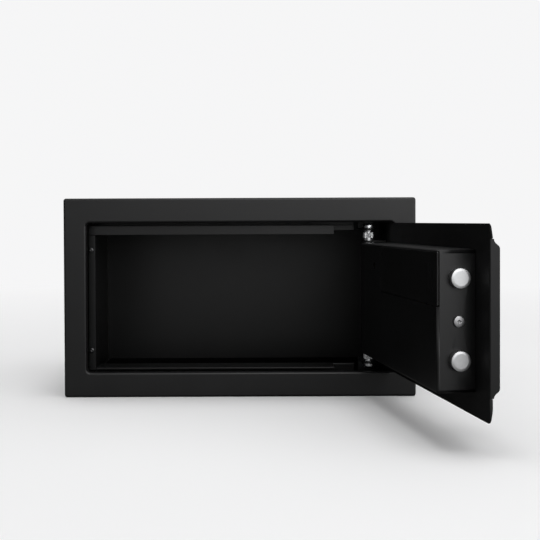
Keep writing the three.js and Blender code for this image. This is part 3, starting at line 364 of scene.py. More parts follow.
BLACK_STEEL = plated_metal("black_oxide", (0.08, 0.08, 0.082), (0.12, 0.12, 0.123), (0.3, 0.42))
STEEL = plated_metal(
    "stamped_steel", (0.34, 0.35, 0.36), (0.44, 0.45, 0.46), (0.3, 0.45), stretch=(1, 1, 8)
)
BRASS = plated_metal("turned_brass", (0.48, 0.33, 0.13), (0.58, 0.41, 0.18), (0.22, 0.36))
COPPER = plated_metal(
    "copper_coil", (0.42, 0.20, 0.09), (0.55, 0.28, 0.13), (0.3, 0.42), stretch=(1, 1, 30)
)
SLEEVE = moulded("cell_sleeve", (0.035, 0.11, 0.055), (0.05, 0.15, 0.075), (0.2, 0.32))
BOARD = coated_board("circuit_board", (0.008, 0.055, 0.022), (0.03, 0.12, 0.05))
GREEN_LENS = lens_plastic("green_lens", (0.04, 0.36, 0.09), (0.08, 0.48, 0.14))
RED_LENS = lens_plastic("red_lens", (0.42, 0.02, 0.015), (0.55, 0.04, 0.03))
RED_CAP = moulded("red_button", (0.32, 0.02, 0.015), (0.42, 0.035, 0.025))

# CAD nodes that keep their shape

SHARP_ANGLE = math.radians(35)
WELD_REACH = 0.002 * MM
FLAT_ANGLE = math.radians(0.4)


def finish_edges(obj, edge):
    """Even shading, with sharp edges softened by edge where it isn't 0."""
    if edge > 0:
        bevel = obj.modifiers.new("soft_edges", "BEVEL")
        bevel.width = edge
        bevel.segments = 2
        bevel.limit_method = "ANGLE"
        bevel.angle_limit = SHARP_ANGLE
        bevel.harden_normals = True
        bevel.use_clamp_overlap = True
    normals = obj.modifiers.new("even_shading", "WEIGHTED_NORMAL")
    normals.keep_sharp = True


def smooth(mesh):
    mesh.polygons.foreach_set("use_smooth", [True] * len(mesh.polygons))


def dress(name, material, edge=0.0):
    """Gives a CAD node its material, welded smooth faces and, where asked, softened edges."""
    obj = nodes[name]
    obj.data.materials.clear()
    obj.data.materials.append(material)
    smooth(obj.data)
    weld = obj.modifiers.new("weld", "WELD")
    weld.merge_threshold = WELD_REACH
    flat = obj.modifiers.new("whole_faces", "DECIMATE")
    flat.decimate_type = "DISSOLVE"
    flat.angle_limit = FLAT_ANGLE
    finish_edges(obj, edge)


dress("cabinet_shell", COAT)
dress("front_frame", COAT)
# The stops, hinge brackets, door plate, lock cover and battery lid take the darker coat, as painted shade.
for name in ("door_stop_left", "door_stop_top", "door_stop_bottom"):
    dress(name, SHADED_COAT, edge=0.4 * MM)
for side in ("upper", "lower"):
    dress(f"hinge_bracket_{side}", SHADED_COAT, edge=0.3 * MM)
    dress(f"hinge_ear_{side}", SHADED_COAT, edge=0.3 * MM)
dress("floor_mat", MAT, edge=0.5 * MM)
dress("door_plate", SHADED_DOOR_COAT)
dress("front_fascia", FASCIA, edge=0.9 * MM)
dress("lock_cover", SHADED_COAT)
dress("battery_lid", SHADED_COAT)
for name in ("lock_base", "bolt_carriage", "knob_spindle", "solenoid_plunger"):
    dress(name, STEEL)
dress("battery_tray", KNOB_BLACK, edge=0.3 * MM)
dress("circuit_board", BOARD)
dress("keypad_board", BOARD)
dress("solenoid", COPPER, edge=0.4 * MM)
dress("key_lock_body", BRASS)
dress("key_plug", BRASS)
dress("keypad_frame", FASCIA, edge=0.2 * MM)

# Shapes for the pieces


def rounded(corners, steps=5, closed=True):
    """Points of an outline given as (a, b, radius) corners, each rounded by its radius."""
    points = []
    for i, (a, b, radius) in enumerate(corners):
        if radius == 0 or (not closed and i in (0, len(corners) - 1)):
            points.append((a, b))
            continue
        here = Vector((a, b))
        back = (Vector(corners[i - 1][:2]) - here).normalized()
        on = (Vector(corners[(i + 1) % len(corners)][:2]) - here).normalized()
        half = back.angle(on) / 2
        centre = here + (back + on).normalized() * radius / math.sin(half)
        first = here + back * radius / math.tan(half) - centre
        last = here + on * radius / math.tan(half) - centre
        start = math.atan2(first.y, first.x)
        sweep = math.atan2(first.cross(last), first.dot(last))
        for step in range(steps + 1):
            angle = start + sweep * step / steps
            points.append(
                (centre.x + radius * math.cos(angle), centre.y + radius * math.sin(angle))
            )
    return points


def rectangle(width, height, radius, steps=6):
    """An outline round the origin, its corners rounded by radius."""
    x, y = width / 2, height / 2
    corners = [(-x, -y, radius), (x, -y, radius), (x, y, radius), (-x, y, radius)]
    return rounded(corners, steps)


def circle(radius, sides=48):
    turn = math.tau / sides
    return [(radius * math.cos(i * turn), radius * math.sin(i * turn)) for i in range(sides)]


def fluted(radius, flutes, depth, points):
    """A circle's outline with flutes cut in by depth. Each flute has so many points."""
    outline = []
    for i in range(points * flutes):
        angle = math.tau * i / (points * flutes)
        reach = radius - depth * (1 - abs(math.cos(flutes * angle / 2)))
        outline.append((reach * math.cos(angle), reach * math.sin(angle)))
    return outline


def dome(radius, rise, steps, crown=0.0):
    """The (radius, height) points of a quarter ellipse from its crown to its rim."""
    angles = [QUARTER * i / steps for i in range(steps + 1)]
    return [(radius * math.sin(a), crown + rise * (1 - math.cos(a))) for a in angles]


ON_AXIS = 1e-7


def lathe(profile, sides=64, closed=False):
    """Turns (radius, height) points round Z. A closed profile has a bore."""
    form = bmesh.new()
    rings = []
    for radius, height in profile:
        spots = circle(radius, sides) if radius > ON_AXIS else [(0, 0)]
        rings.append([form.verts.new((x, y, height)) for x, y in spots])
    pairs = list(zip(rings, rings[1:]))
    if closed:
        pairs.append((rings[-1], rings[0]))
    for low, high in pairs:
        for i in range(sides):
            j = (i + 1) % sides
            corners = [low[i % len(low)], low[j % len(low)]]
            corners += [high[j % len(high)], high[i % len(high)]]
            kept = list(dict.fromkeys(corners))
            if len(kept) > 2:
                form.faces.new(kept)
    bmesh.ops.recalc_face_normals(form, faces=form.faces)
    return form


def prism(outline, low, high, top=0.0, bottom=0.0, segments=4):
    """An outline in X and Y from low to high along Z, its end edges rounded."""
    form = bmesh.new()
    rings = [[form.verts.new((x, y, z)) for x, y in outline] for z in (low, high)]
    caps = [form.faces.new(rings[0][::-1]), form.faces.new(rings[1])]
    for i in range(len(outline)):
        j = (i + 1) % len(outline)
        form.faces.new((rings[0][i], rings[0][j], rings[1][j], rings[1][i]))
    edges = [(list(cap.edges), size) for cap, size in zip(caps, (bottom, top))]
    for rim, size in edges:
        if size > 0:
            bmesh.ops.bevel(
                form, geom=rim, offset=size, segments=segments, profile=0.5, affect="EDGES"
            )
    bmesh.ops.recalc_face_normals(form, faces=form.faces)
    return form


def merged(*forms):
    """Several forms as one mesh."""
    whole = bmesh.new()
    for form in forms:
        part = bpy.data.meshes.new("part")
        form.to_mesh(part)
        form.free()
        whole.from_mesh(part)
        bpy.data.meshes.remove(part)
    return whole


def moved(form, x=0.0, y=0.0, turn=0.0):
    """The form after a turn about Z and a shift."""
    bmesh.ops.rotate(form, verts=form.verts, matrix=Matrix.Rotation(turn, 3, "Z"))
    bmesh.ops.translate(form, verts=form.verts, vec=(x, y, 0))
    return form


def linked(name, data):
    """A new object in the scene."""
    obj = bpy.data.objects.new(name, data)
    bpy.context.scene.collection.objects.link(obj)
    return obj


def combine(form, other, operation):
    """The form after a boolean with another, which is used up."""
    holders = []
    for source in (form, other):
        mesh = bpy.data.meshes.new("part")
        source.to_mesh(mesh)
        holders.append(linked("part", mesh))
    change = holders[0].modifiers.new("change", "BOOLEAN")
    change.operation = operation
    change.object = holders[1]
    change.solver = "EXACT"
    ready = holders[0].evaluated_get(bpy.context.evaluated_depsgraph_get())
    form.clear()
    form.from_mesh(ready.to_mesh())
    other.free()
    for holder in holders:
        bpy.data.meshes.remove(holder.data)
    return form


def piece(name, form, material, place, node, edge=0.0, stands_in=True):
    """Makes a form into a piece at place. It rides with the node's body."""
    mesh = bpy.data.meshes.new(name)
    form.to_mesh(mesh)
    form.free()
    mesh.materials.append(material)
    smooth(mesh)
    obj = linked(name, mesh)
    obj.matrix_world = place
    finish_edges(obj, edge)
    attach(obj, body_of_node[node])
    if stands_in:
        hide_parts(node)
    return obj


# Back of the cabinet

SEAM = 0.28 * MM
PANEL_CORNER = 0.8 * MM
PANEL_EDGE = 0.25 * MM


def back_panel():
    """The rear plate, grown by its seam so that no light comes in round it."""
    low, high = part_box("back_panel")
    middle = (low + high) / 2
    width = high.x - low.x + 2 * SEAM
    height = high.z - low.z + 2 * SEAM
    outline = rectangle(width, height, PANEL_CORNER)
    form = prism(outline, 0, high.y - low.y, bottom=PANEL_EDGE)
    place = facing_front((middle.x, high.y, middle.z))
    # The back plate takes the darker coat, as painted shade.
    piece("back_panel_plate", form, SHADED_COAT, place, "back_panel")


# Screws, bolts and other turned pieces

SPIGOT_RADIUS = 4.0 * MM
SPIGOT_LENGTH = 2.6 * MM
SPIGOT_ROUND = 0.2 * MM
BOLT_CROWN = 0.28 * MM
BOLT_FLAT_SHARE = 0.74
BOLT_FACE_ROUND = 4 * MM
BOLT_RIM_ROUND = 0.5 * MM
BOLT_HEEL_ROUND = 0.3 * MM


def lock_bolt(side):
    """A locking bolt with a crowned face and the spigot that its carriage holds."""
    node = f"bolt_{side}"
    low, high = shut_box(node)
    middle = (low + high) / 2
    radius = (high.z - low.z) / 2
    length = high.x - low.x
    heel = length - SPIGOT_LENGTH
    profile = rounded(
        [
            (0, 0, 0),
            (BOLT_FLAT_SHARE * radius, 0, BOLT_FACE_ROUND),
            (radius, BOLT_CROWN, BOLT_RIM_ROUND),
            (radius, heel, BOLT_HEEL_ROUND),
            (SPIGOT_RADIUS, heel, 0),
            (SPIGOT_RADIUS, length, SPIGOT_ROUND),
            (0, length, 0),
        ],
        steps=3,
        closed=False,
    )
    place = OPENED @ along((low.x, middle.y, middle.z), INWARD)
    form = lathe(profile, sides=96)
    piece(f"bolt_{side}_turned", form, ZINC, place, node)


RECESS_WIDTH = 0.34  # Share of its reach
RECESS_DEPTH = 0.55  # Share of the head's height
RECESS_TAPER = (0.45, 0.6)
HEAD_ROUND = 0.15  # Share of the head's height


def cross_recess(reach, depth):
    """A cross-shaped cutter for a crown at Z 0, narrower where it ends at depth in the head."""
    width = RECESS_WIDTH * reach
    arms = []
    for turn in (0, QUARTER):
        arm = prism(rectangle(2 * reach, 2 * width, width / 2, 2), -depth, depth)
        for vert in arm.verts:
            if vert.co.z > 0:
                vert.co.x *= RECESS_TAPER[0]
                vert.co.y *= RECESS_TAPER[1]
        arms.append(moved(arm, turn=turn))
    return combine(*arms, "UNION")


def pan_screw(head, height, shank, length, crowned, recess):
    """A cross-recessed screw from its crown at Z 0 to its end at length.

    Crowned is the dome's share of the head's height, and recess the cross's share of its radius.
    """
    rim = crowned * height
    profile = dome(head, rim, steps=8)
    profile += rounded(
        [
            (head, rim, 0),
            (head, height, HEAD_ROUND * height),
            (shank, height, 0),
            (shank, length - shank / 2, 0),
            (shank / 2, length, 0),
            (0, length, 0),
        ],
        steps=2,
        closed=False,
    )[1:]
    cutter = cross_recess(recess * head, RECESS_DEPTH * height)
    return combine(lathe(profile, sides=48), cutter, "DIFFERENCE")


COVER_SCREW_HEAD = 4.4 * MM
COVER_SCREW = {"height": 2.1 * MM, "shank": 1.9 * MM, "crowned": 0.28, "recess": 0.44}
STOP_SCREW = {"height": 1.3 * MM, "shank": 1.3 * MM, "crowned": 0.62, "recess": 0.56}


def cover_screw():
    low, high = shut_box("cover_screw")
    middle = (low + high) / 2
    form = pan_screw(COVER_SCREW_HEAD, length=high.x - low.x, **COVER_SCREW)
    place = OPENED @ along((low.x, middle.y, middle.z), INWARD)
    piece("cover_screw_cross", form, DULL_ZINC, place, "cover_screw")


def stop_screw(side):
    node = f"stop_screw_{side}"
    low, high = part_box(node)
    middle = (low + high) / 2
    form = pan_screw((high.z - low.z) / 2, length=high.y - low.y, **STOP_SCREW)
    place = along((middle.x, low.y, middle.z), -FRONT)
    piece(f"{node}_cross", form, BLACK_STEEL, place, node)


# Hinge hardware. Each piece's local Z runs from the bolt's crown to its end.

SHANK_RADIUS = 4.0 * MM
SHANK_END_ROUND = 0.5 * MM
HINGE_HEAD_HEIGHT = 3.9 * MM
HINGE_HEAD_ROUND = 0.3 * MM
HINGE_CROWN = 0.9 * MM
HINGE_DOME = 2.1 * MM
BORE_RADIUS = 4.3 * MM
RING_ROUND = 0.3 * MM
CLIP_GAP = 5 * MM
SLEEVE_FLUTES = 18
SLEEVE_FLUTE_DEPTH = 0.6 * MM
SLEEVE_NECK = 0.8 * MM
SLEEVE_NECK_STEP = 1.0 * MM
SLEEVE_COLLAR = 2.4 * MM
SLEEVE_LAP = 0.1 * MM
SLEEVE_EDGE = 0.12 * MM


def hinge_place(node, side):
    low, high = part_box(node)
    middle = (low + high) / 2
    if side == "upper":
        return along((middle.x, middle.y, high.z), -UP)
    return along((middle.x, middle.y, low.z), UP)


def hinge_bolt(side):
    """A hinge bolt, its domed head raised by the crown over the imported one."""
    node = f"hinge_bolt_{side}"
    low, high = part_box(node)
    head = (high.x - low.x) / 2
    length = high.z - low.z
    profile = dome(head, HINGE_DOME, steps=12, crown=-HINGE_CROWN)
    profile += rounded(
        [
            (head, HINGE_DOME - HINGE_CROWN, 0),
            (head, HINGE_HEAD_HEIGHT, HINGE_HEAD_ROUND),
            (SHANK_RADIUS, HINGE_HEAD_HEIGHT, 0),
            (SHANK_RADIUS, length, SHANK_END_ROUND),
            (0, length, 0),
        ],
        steps=3,
        closed=False,
    )[1:]
    place = hinge_place(node, side)
    piece(f"{node}_dome", lathe(profile), BRIGHT_ZINC, place, node)


def hinge_ring(kind, side, gap=0.0):
    """A washer, or with a gap in it a retaining clip."""
    node = f"hinge_{kind}_{side}"
    low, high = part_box(node)
    outer = (high.x - low.x) / 2
    thickness = high.z - low.z
    profile = rounded(
        [
            (BORE_RADIUS, 0, RING_ROUND / 2),
            (outer, 0, RING_ROUND),
            (outer, thickness, RING_ROUND),
            (BORE_RADIUS, thickness, RING_ROUND / 2),
        ],
        steps=3,
    )
    form = lathe(profile, closed=True)
    if gap > 0:
        cutter = prism(rectangle(2 * outer, gap, gap / 8), -thickness, 2 * thickness)
        form = combine(form, moved(cutter, x=-outer - BORE_RADIUS / 2), "DIFFERENCE")
    place = hinge_place(node, side)
    piece(f"{node}_ring", form, BRIGHT_ZINC, place, node)


def hinge_sleeve(side):
    """A bored sleeve: a narrow neck under the bolt's head, a fluted middle, a smooth collar."""
    node = f"hinge_sleeve_{side}"
    low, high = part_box(node)
    outer = (high.x - low.x) / 2
    length = high.z - low.z
    fluting = fluted(outer, SLEEVE_FLUTES, SLEEVE_FLUTE_DEPTH, points=12)
    form = prism(fluting, SLEEVE_NECK, length - SLEEVE_COLLAR + SLEEVE_LAP)
    collar = prism(circle(outer), length - SLEEVE_COLLAR, length)
    neck = prism(circle(outer - SLEEVE_NECK_STEP), 0, SLEEVE_NECK + SLEEVE_LAP)
    bore = prism(circle(BORE_RADIUS), -length, 2 * length)
    form = combine(form, collar, "UNION")
    form = combine(form, neck, "UNION")
    form = combine(form, bore, "DIFFERENCE")
    place = hinge_place(node, side)
    piece(f"{node}_fluted", form, BRIGHT_ZINC, place, node, edge=SLEEVE_EDGE)


# Front of the door

MARK_RISE = 0.04 * MM
KNOB_SKIRT = 3.4 * MM
KNOB_SKIRT_ROUND = 1.1 * MM
KNOB_FLUTES = 48
KNOB_FLUTE_DEPTH = 0.35 * MM
KNOB_STEP_SHARE = 0.8
KNOB_STEP_RISE = 0.8 * MM
KNOB_STEP_ROUND = 0.6 * MM
GRIP_LENGTH = 30.0 * MM
GRIP_WIDTH = 9.0 * MM
GRIP_TOP = -0.75 * MM
GRIP_ROUND = 1.6 * MM
GRIP_CORNER_SHARE = 0.42
GRIP_WAIST_SHARE = 0.16
POINTER_LENGTH = 8 * MM
POINTER_WIDTH = 1.2 * MM
POINTER_CORNER = 0.5 * MM
POINTER_INSET = 6.6 * MM
POINTER_SUNK = 0.2 * MM


def front_place(node):
    """Where the middle of a node's foremost face is, facing out, with the node's size."""
    low, high = shut_box(node)
    middle = (low + high) / 2
    return OPENED @ facing_front((middle.x, low.y, middle.z)), high - low


def knob():
    """A fluted skirt, a round step on it and a waisted grip with a printed pointer."""
    place, size = front_place("knob")
    outer = size.x / 2
    rim = fluted(outer, KNOB_FLUTES, KNOB_FLUTE_DEPTH, points=8)
    skirt = prism(rim, -size.y, KNOB_SKIRT - size.y, top=KNOB_SKIRT_ROUND)
    step = prism(
        circle(KNOB_STEP_SHARE * outer, 72),
        -size.y,
        KNOB_SKIRT + KNOB_STEP_RISE - size.y,
        top=KNOB_STEP_ROUND,
    )
    grip = prism(
        rectangle(GRIP_LENGTH, GRIP_WIDTH, GRIP_WIDTH * GRIP_CORNER_SHARE, 8),
        KNOB_SKIRT / 2 - size.y,
        GRIP_TOP,
        top=GRIP_ROUND,
        segments=6,
    )
    for vert in grip.verts:
        vert.co.y *= 1 - GRIP_WAIST_SHARE * math.cos(math.pi * vert.co.x / GRIP_LENGTH)
    form = merged(skirt, step, grip)
    piece("knob_grip", form, KNOB_BLACK, place, "knob")
    stripe = rectangle(POINTER_LENGTH, POINTER_WIDTH, POINTER_CORNER)
    pointer = prism(stripe, GRIP_TOP - POINTER_SUNK, GRIP_TOP + MARK_RISE)
    moved(pointer, x=-GRIP_LENGTH / 2 + POINTER_INSET)
    piece("knob_pointer", pointer, PRINT, place, "knob", stands_in=False)


KEY_FLANGE = 0.7 * MM
KEY_FLANGE_SEAT = 3.3 * MM
KEY_FLANGE_BACK = 4.1 * MM
KEY_STEM = 3.0 * MM
KEY_STEM_CORNER = 0.2 * MM
KEY_CORNER = 1.8 * MM
KEY_ROUND = 0.7 * MM
KEY_MARKS = "123456789*0#"
DIGIT_SIZE = 6.4 * MM


def key(number, mark):
    """A keypad key with the flange that keeps it in its frame and the stem on its board."""
    node = f"key_{number:02d}"
    place, size = front_place(node)
    face = rectangle(size.x - 2 * KEY_FLANGE, size.z - 2 * KEY_FLANGE, KEY_CORNER)
    cap = prism(face, -KEY_FLANGE_BACK, 0, top=KEY_ROUND, segments=5)
    flange = prism(rectangle(size.x, size.z, KEY_CORNER), -KEY_FLANGE_BACK, -KEY_FLANGE_SEAT)
    stem = prism(rectangle(KEY_STEM, KEY_STEM, KEY_STEM_CORNER), -size.y, -KEY_FLANGE_BACK)
    form = merged(cap, flange, stem)
    piece(f"{node}_cap", form, KEY_GREY, place, node)
    printed(f"{node}_mark", mark, DIGIT_SIZE, place, node)


def printed(name, text, size, place, node):
    """A character printed on a face, as a thin raised shape."""
    curve = bpy.data.curves.new(name, "FONT")
    curve.body = text
    curve.size = size
    curve.align_x = "CENTER"
    curve.align_y = "CENTER"
    curve.extrude = MARK_RISE
    source = linked(name, curve)
    ready = source.evaluated_get(bpy.context.evaluated_depsgraph_get())
    form = bmesh.new()
    form.from_mesh(ready.to_mesh())
    low = min(v.co.y for v in form.verts)
    high = max(v.co.y for v in form.verts)
    moved(form, y=-(low + high) / 2)
    bpy.data.objects.remove(source)
    piece(name, form, PRINT, place, node, stands_in=False)


KEY_COVER_EAR = 4.2 * MM
KEY_COVER_THICKNESS = 1.9 * MM
KEY_COVER_ROUND = 0.8 * MM
KEY_COVER_PIN = 1.5 * MM
RIVET = [
    (0, 0.45 * MM),
    (1.2 * MM, 0.4 * MM),
    (1.9 * MM, 0.15 * MM),
    (2.1 * MM, -0.2 * MM),
    (0, -0.2 * MM),
]
NIB_LENGTH = 7 * MM
NIB_WIDTH = 1.4 * MM
NIB_CORNER = 0.6 * MM
NIB_SUNK = 0.3 * MM
NIB_RISE = 0.5 * MM
NIB_ROUND = 0.4 * MM
NIB_DROP_SHARE = 0.62


def key_cover():
    """A drop-shaped plate that hangs from its riveted pin, with a nib for a fingernail."""
    low, high = shut_box("key_cover")
    big = (high.x - low.x) / 2
    rise = high.z - low.z - big - KEY_COVER_EAR
    lean = math.asin((big - KEY_COVER_EAR) / rise)
    steps = 32
    outline = []
    for radius, height, start, sweep in (
        (big, 0, math.pi - lean, math.pi + 2 * lean),
        (KEY_COVER_EAR, rise, lean, math.pi - 2 * lean),
    ):
        for i in range(steps + 1):
            angle = start + sweep * i / steps
            outline.append((radius * math.cos(angle), height + radius * math.sin(angle)))
    plate = prism(outline, -KEY_COVER_THICKNESS, 0, top=KEY_COVER_ROUND, segments=5)
    pin = prism(circle(KEY_COVER_PIN), low.y - high.y, -KEY_COVER_THICKNESS)
    moved(pin, y=rise)
    rivet = moved(lathe(RIVET, sides=40), y=rise)
    bar = rectangle(NIB_LENGTH, NIB_WIDTH, NIB_CORNER)
    nib = moved(prism(bar, -NIB_SUNK, NIB_RISE, top=NIB_ROUND), y=-NIB_DROP_SHARE * big)
    place = OPENED @ facing_front(((low.x + high.x) / 2, low.y, low.z + big))
    form = merged(plate, pin, nib)
    piece("key_cover_plate", form, KNOB_BLACK, place, "key_cover")
    piece(
        "key_cover_rivet",
        rivet,
        BLACK_STEEL,
        place,
        "key_cover",
        stands_in=False,
    )


LENS_CROWN = 0.5 * MM


def lens(colour, material):
    """A domed indicator lens."""
    node = f"lens_{colour}"
    place, size = front_place(node)
    radius = size.x / 2
    steps = 6
    profile = [(0, -size.y), (radius, -size.y), (radius, -LENS_CROWN)]
    for i in range(1, steps + 1):
        angle = QUARTER * i / steps
        profile.append((radius * math.cos(angle), LENS_CROWN * (math.sin(angle) - 1)))
    piece(f"{node}_dome", lathe(profile, sides=40), material, place, node)


# Inside of the door

RESET_ROUND = 0.5 * MM


def reset_button():
    low, high = shut_box("reset_button")
    middle = (low + high) / 2
    radius, length = (high.x - low.x) / 2, high.y - low.y
    corners = [(0, 0, 0), (radius, 0, 0), (radius, length, RESET_ROUND), (0, length, 0)]
    form = lathe(rounded(corners, steps=4, closed=False), sides=40)
    place = OPENED @ along((middle.x, low.y, middle.z), -FRONT)
    piece("reset_button_cap", form, RED_CAP, place, "reset_button")


CELL_CAP_RADIUS = 2.7 * MM
CELL_CAP_LENGTH = 1.1 * MM
CELL_CAP_ROUND = 0.4 * MM
CELL_SEAM = 1.4 * MM
CELL_SEAM_DEPTH = 0.35 * MM
CELL_SEAM_ROUND = 0.6 * MM
CELL_FOLD_ROUND = 0.2 * MM


def battery(number):
    """A cell in its sleeve, with bare ends. The caps of the first two point to the hinge."""
    node = f"battery_{number}"
    low, high = shut_box(node)
    middle = (low + high) / 2
    radius = (high.z - low.z) / 2
    body = high.x - low.x - CELL_CAP_LENGTH
    profile = rounded(
        [
            (0, 0, 0),
            (radius - CELL_SEAM, 0, CELL_FOLD_ROUND),
            (radius, CELL_SEAM_DEPTH, CELL_SEAM_ROUND),
            (radius, body - CELL_SEAM_DEPTH, CELL_SEAM_ROUND),
            (radius - CELL_SEAM, body, CELL_FOLD_ROUND),
            (CELL_CAP_RADIUS, body - CELL_FOLD_ROUND, CELL_FOLD_ROUND),
            (CELL_CAP_RADIUS, body + CELL_CAP_LENGTH, CELL_CAP_ROUND),
            (0, body + CELL_CAP_LENGTH, 0),
        ],
        steps=3,
        closed=False,
    )
    forward = number <= 2
    start = low.x if forward else high.x
    direction = INWARD if forward else -INWARD
    place = OPENED @ along((start, middle.y, middle.z), direction)
    form = lathe(profile, sides=48)
    obj = piece(f"{node}_cell", form, SLEEVE, place, node)
    obj.data.materials.append(BRIGHT_ZINC)
    for face in obj.data.polygons:
        reach = max(math.hypot(*obj.data.vertices[i].co.xy) for i in face.vertices)
        face.material_index = int(reach < radius - CELL_SEAM / 2)


back_panel()
for side in ("upper", "lower"):
    lock_bolt(side)
    stop_screw(side)
    hinge_bolt(side)
    hinge_sleeve(side)
    hinge_ring("washer", side)
    hinge_ring("clip", side, gap=CLIP_GAP)
cover_screw()
knob()
for number, mark in enumerate(KEY_MARKS, 1):
    key(number, mark)
key_cover()
lens("green", GREEN_LENS)
lens("red", RED_LENS)
reset_button()
for number in range(1, 5):
    battery(number)

# Stage

FLOOR_SIZE = 60
FLOOR_DROP = 0.05 * MM
WHITE = (1, 1, 1)
PAPER = (0.86, 0.86, 0.865)
PAPER_BOUNCE = (0.15, 0.15, 0.15)
# The floor's colour in gloss, where the studio is dark and where it is bright. It is darker towards the bright
# right side, as painted shade for the open door's shadow.
PAPER_SHEEN_AND_SHADE = (0.22, 0.12)
PAPER_LIFT = 0.05
PAPER_FADE = (0.5, 1.6)
MIRROR_FADE = (0.4, 3.0)
BACKGROUND = (0.92, 0.92, 0.925)
LEFT_LEVEL = 0.06
RIGHT_LEVEL = 2.1
BACK_SHARE = 0.1
SIDE_SPREAD = (-0.42, 0.4)
BACK_SPREAD = (-0.1, 0.3)
CEILING_SHARE = 0.35
CEILING_SPREAD = (0.15, 0.55)
CEILING_LEVEL = 0.7
CEILING_REACH = (0.5, 0.85)
FILL_LOW = 0.7
FILL_HIGH = 0.1
FILL_SPREAD = (0.2, 0.5)


def surroundings(made, ways):
    """How bright the studio is: pale to the front right, dark to the left and behind."""
    across = made.between(ways["X"], LEFT_LEVEL, RIGHT_LEVEL, SIDE_SPREAD)
    behind = made.between(ways["Y"], 0.0, 1.0, BACK_SPREAD)
    shade = made.add("ShaderNodeMix", Factor=behind, A=1.0, B=BACK_SHARE)
    return made.math("MULTIPLY", across, shade.outputs["Result"])


def stage_floor():
    """A wide pale floor that fades into the background colour far from the object.

    Gloss shows it as dim paper, with painted shade that makes it darker towards the right where the open door's
    shadow falls, and far off as the surroundings. Other rays get a dark floor.
    """
    bpy.ops.mesh.primitive_plane_add(size=FLOOR_SIZE, location=(0, 0, -FLOOR_DROP))
    floor = bpy.context.object
    floor.name = "studio_floor"
    made = Shader("studio_paper")
    made.set(Base_Color=(*PAPER, 1), Roughness=0.9, Specular_IOR_Level=0.1)
    bounce = made.add("ShaderNodeBsdfDiffuse", Color=(*PAPER_BOUNCE, 1)).outputs["BSDF"]
    rays = made.add("ShaderNodeLightPath")
    camera = rays.outputs["Is Camera Ray"]
    near = made.add("ShaderNodeAddShader")
    made.plug(near.inputs[0], made.surface.outputs["BSDF"])
    made.plug(near.inputs[1], made.emission(WHITE, PAPER_LIFT))
    distance = made.add("ShaderNodeVectorMath", {"operation": "LENGTH"})
    made.plug(distance.inputs[0], made.place)
    reach = distance.outputs["Value"]
    direction = made.add("ShaderNodeVectorMath", {"operation": "NORMALIZE"})
    made.plug(direction.inputs[0], made.place)
    level = surroundings(made, made.axes(direction.outputs["Vector"]))
    mirrored = made.emission(BACKGROUND, level)
    seen = made.emission(BACKGROUND)
    # Painted shade: in gloss the floor gets darker towards the right, where the open door's shadow falls.
    shade = made.between(level, *PAPER_SHEEN_AND_SHADE, (0, RIGHT_LEVEL))
    sheen = made.add("ShaderNodeBsdfDiffuse", Color=shade).outputs["BSDF"]
    reflected = made.either(made.between(reach, 0, 1, MIRROR_FADE), sheen, mirrored)
    others = made.either(rays.outputs["Is Glossy Ray"], bounce, reflected)
    shown = made.either(made.between(reach, 0, 1, PAPER_FADE), near.outputs["Shader"], seen)
    made.plug(
        made.tree.nodes["Material Output"].inputs["Surface"], made.either(camera, others, shown)
    )
    floor.data.materials.append(made.material)


def studio_world():
    """The background's colour where it is seen, and the studio's levels in gloss and as fill.

    Gloss also shows a pale ceiling, and the fill light is strongest near the horizon.
    """
    world = bpy.data.worlds.new("studio")
    bpy.context.scene.world = world
    world.use_nodes = True
    made = Tree(world.node_tree)
    ways = made.axes(made.add("ShaderNodeTexCoord").outputs["Generated"])
    level = surroundings(made, ways)
    rise = ways["Z"]
    height = made.math("ABSOLUTE", rise, 0.0)
    fill_level = made.math(
        "MULTIPLY", level, made.between(height, FILL_LOW, FILL_HIGH, FILL_SPREAD)
    )
    rays = made.add("ShaderNodeLightPath")
    fill = made.add("ShaderNodeBackground", Color=(*WHITE, 1), Strength=fill_level)
    walls = made.math("MULTIPLY", level, made.between(rise, 1, CEILING_SHARE, CEILING_SPREAD))
    ceiling = made.between(rise, 0.0, CEILING_LEVEL, CEILING_REACH)
    gloss_level = made.math("ADD", walls, ceiling)
    mirrored = made.add("ShaderNodeBackground", Color=(*BACKGROUND, 1), Strength=gloss_level)
    seen = made.tree.nodes["Background"]
    seen.inputs["Color"].default_value = (*BACKGROUND, 1)
    glossy = made.either(
        rays.outputs["Is Glossy Ray"], fill.outputs["Background"], mirrored.outputs["Background"]
    )
    through = made.math(
        "MAXIMUM", rays.outputs["Is Camera Ray"], rays.outputs["Is Transmission Ray"]
    )
    made.plug(
        made.tree.nodes["World Output"].inputs["Surface"],
        made.either(through, glossy, seen.outputs["Background"]),
    )


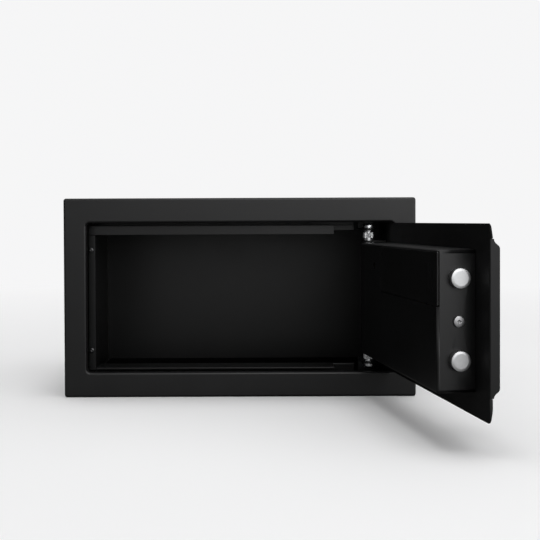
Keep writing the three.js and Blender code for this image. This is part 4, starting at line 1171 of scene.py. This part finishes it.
def lamp(name, kind, place, target, energy, gloss=True, diffuse=True, **settings):
    """A light at place, turned to target, that shows in gloss, in diffuse light or in both."""
    data = bpy.data.lights.new(name, kind)
    data.energy = energy
    for setting, value in settings.items():
        setattr(data, setting, value)
    obj = linked(name, data)
    obj.location = place
    obj.visible_glossy = gloss
    obj.visible_diffuse = diffuse
    obj.rotation_euler = (Vector(target) - Vector(place)).to_track_quat("-Z", "Y").to_euler()


PHOTO_PIXELS = 540
SENSOR_WIDTH = 36.0
FOCAL_LENGTH = 64.5
SHIFT_PIXELS = 33.0
PITCH = 1.0
ROLL = -0.23
CAMERA_PLACE = Vector((0.0302, -1.085, 0.1758))


def camera():
    """The photograph's view: level with the upper part of the cabinet, from the front."""
    data = bpy.data.cameras.new("camera")
    data.sensor_width = SENSOR_WIDTH
    data.lens = FOCAL_LENGTH
    data.shift_y = -SHIFT_PIXELS / PHOTO_PIXELS
    data.clip_start = 0.05
    data.clip_end = 100
    obj = linked("camera", data)
    pitched = Matrix.Rotation(math.radians(90 - PITCH), 4, "X")
    rolled = Matrix.Rotation(math.radians(ROLL), 4, "Z")
    obj.matrix_world = Matrix.Translation(CAMERA_PLACE) @ pitched @ rolled
    bpy.context.scene.camera = obj


stage_floor()
studio_world()
lamp(
    "overhead",
    "SUN",
    place=(0.02, 0.06, 2.2),
    target=(0, 0, 0),
    energy=1.1,
    gloss=False,
    angle=math.radians(32),
)
lamp(
    "wide_overhead",
    "SUN",
    place=(0.15, 0.1, 2.2),
    target=(0, 0, 0),
    energy=1.5,
    gloss=False,
    angle=math.radians(105),
)
lamp(
    "softbox",
    "AREA",
    place=(0.48, -1.25, 0.45),
    target=(0, -0.1, 0.1),
    energy=1.0,
    size=0.4,
)
lamp(
    "front_softbox",
    "AREA",
    place=(-0.15, -1.6, 0.45),
    target=(0, 0, 0.1),
    energy=0.7,
    diffuse=False,
    size=0.6,
)
lamp(
    "upper_softbox",
    "AREA",
    place=(0.15, -0.9, 1.0),
    target=(0.05, 0, 0.15),
    energy=3.2,
    diffuse=False,
    size=0.5,
)
camera()
bpy.context.scene.view_settings.view_transform = "Standard"
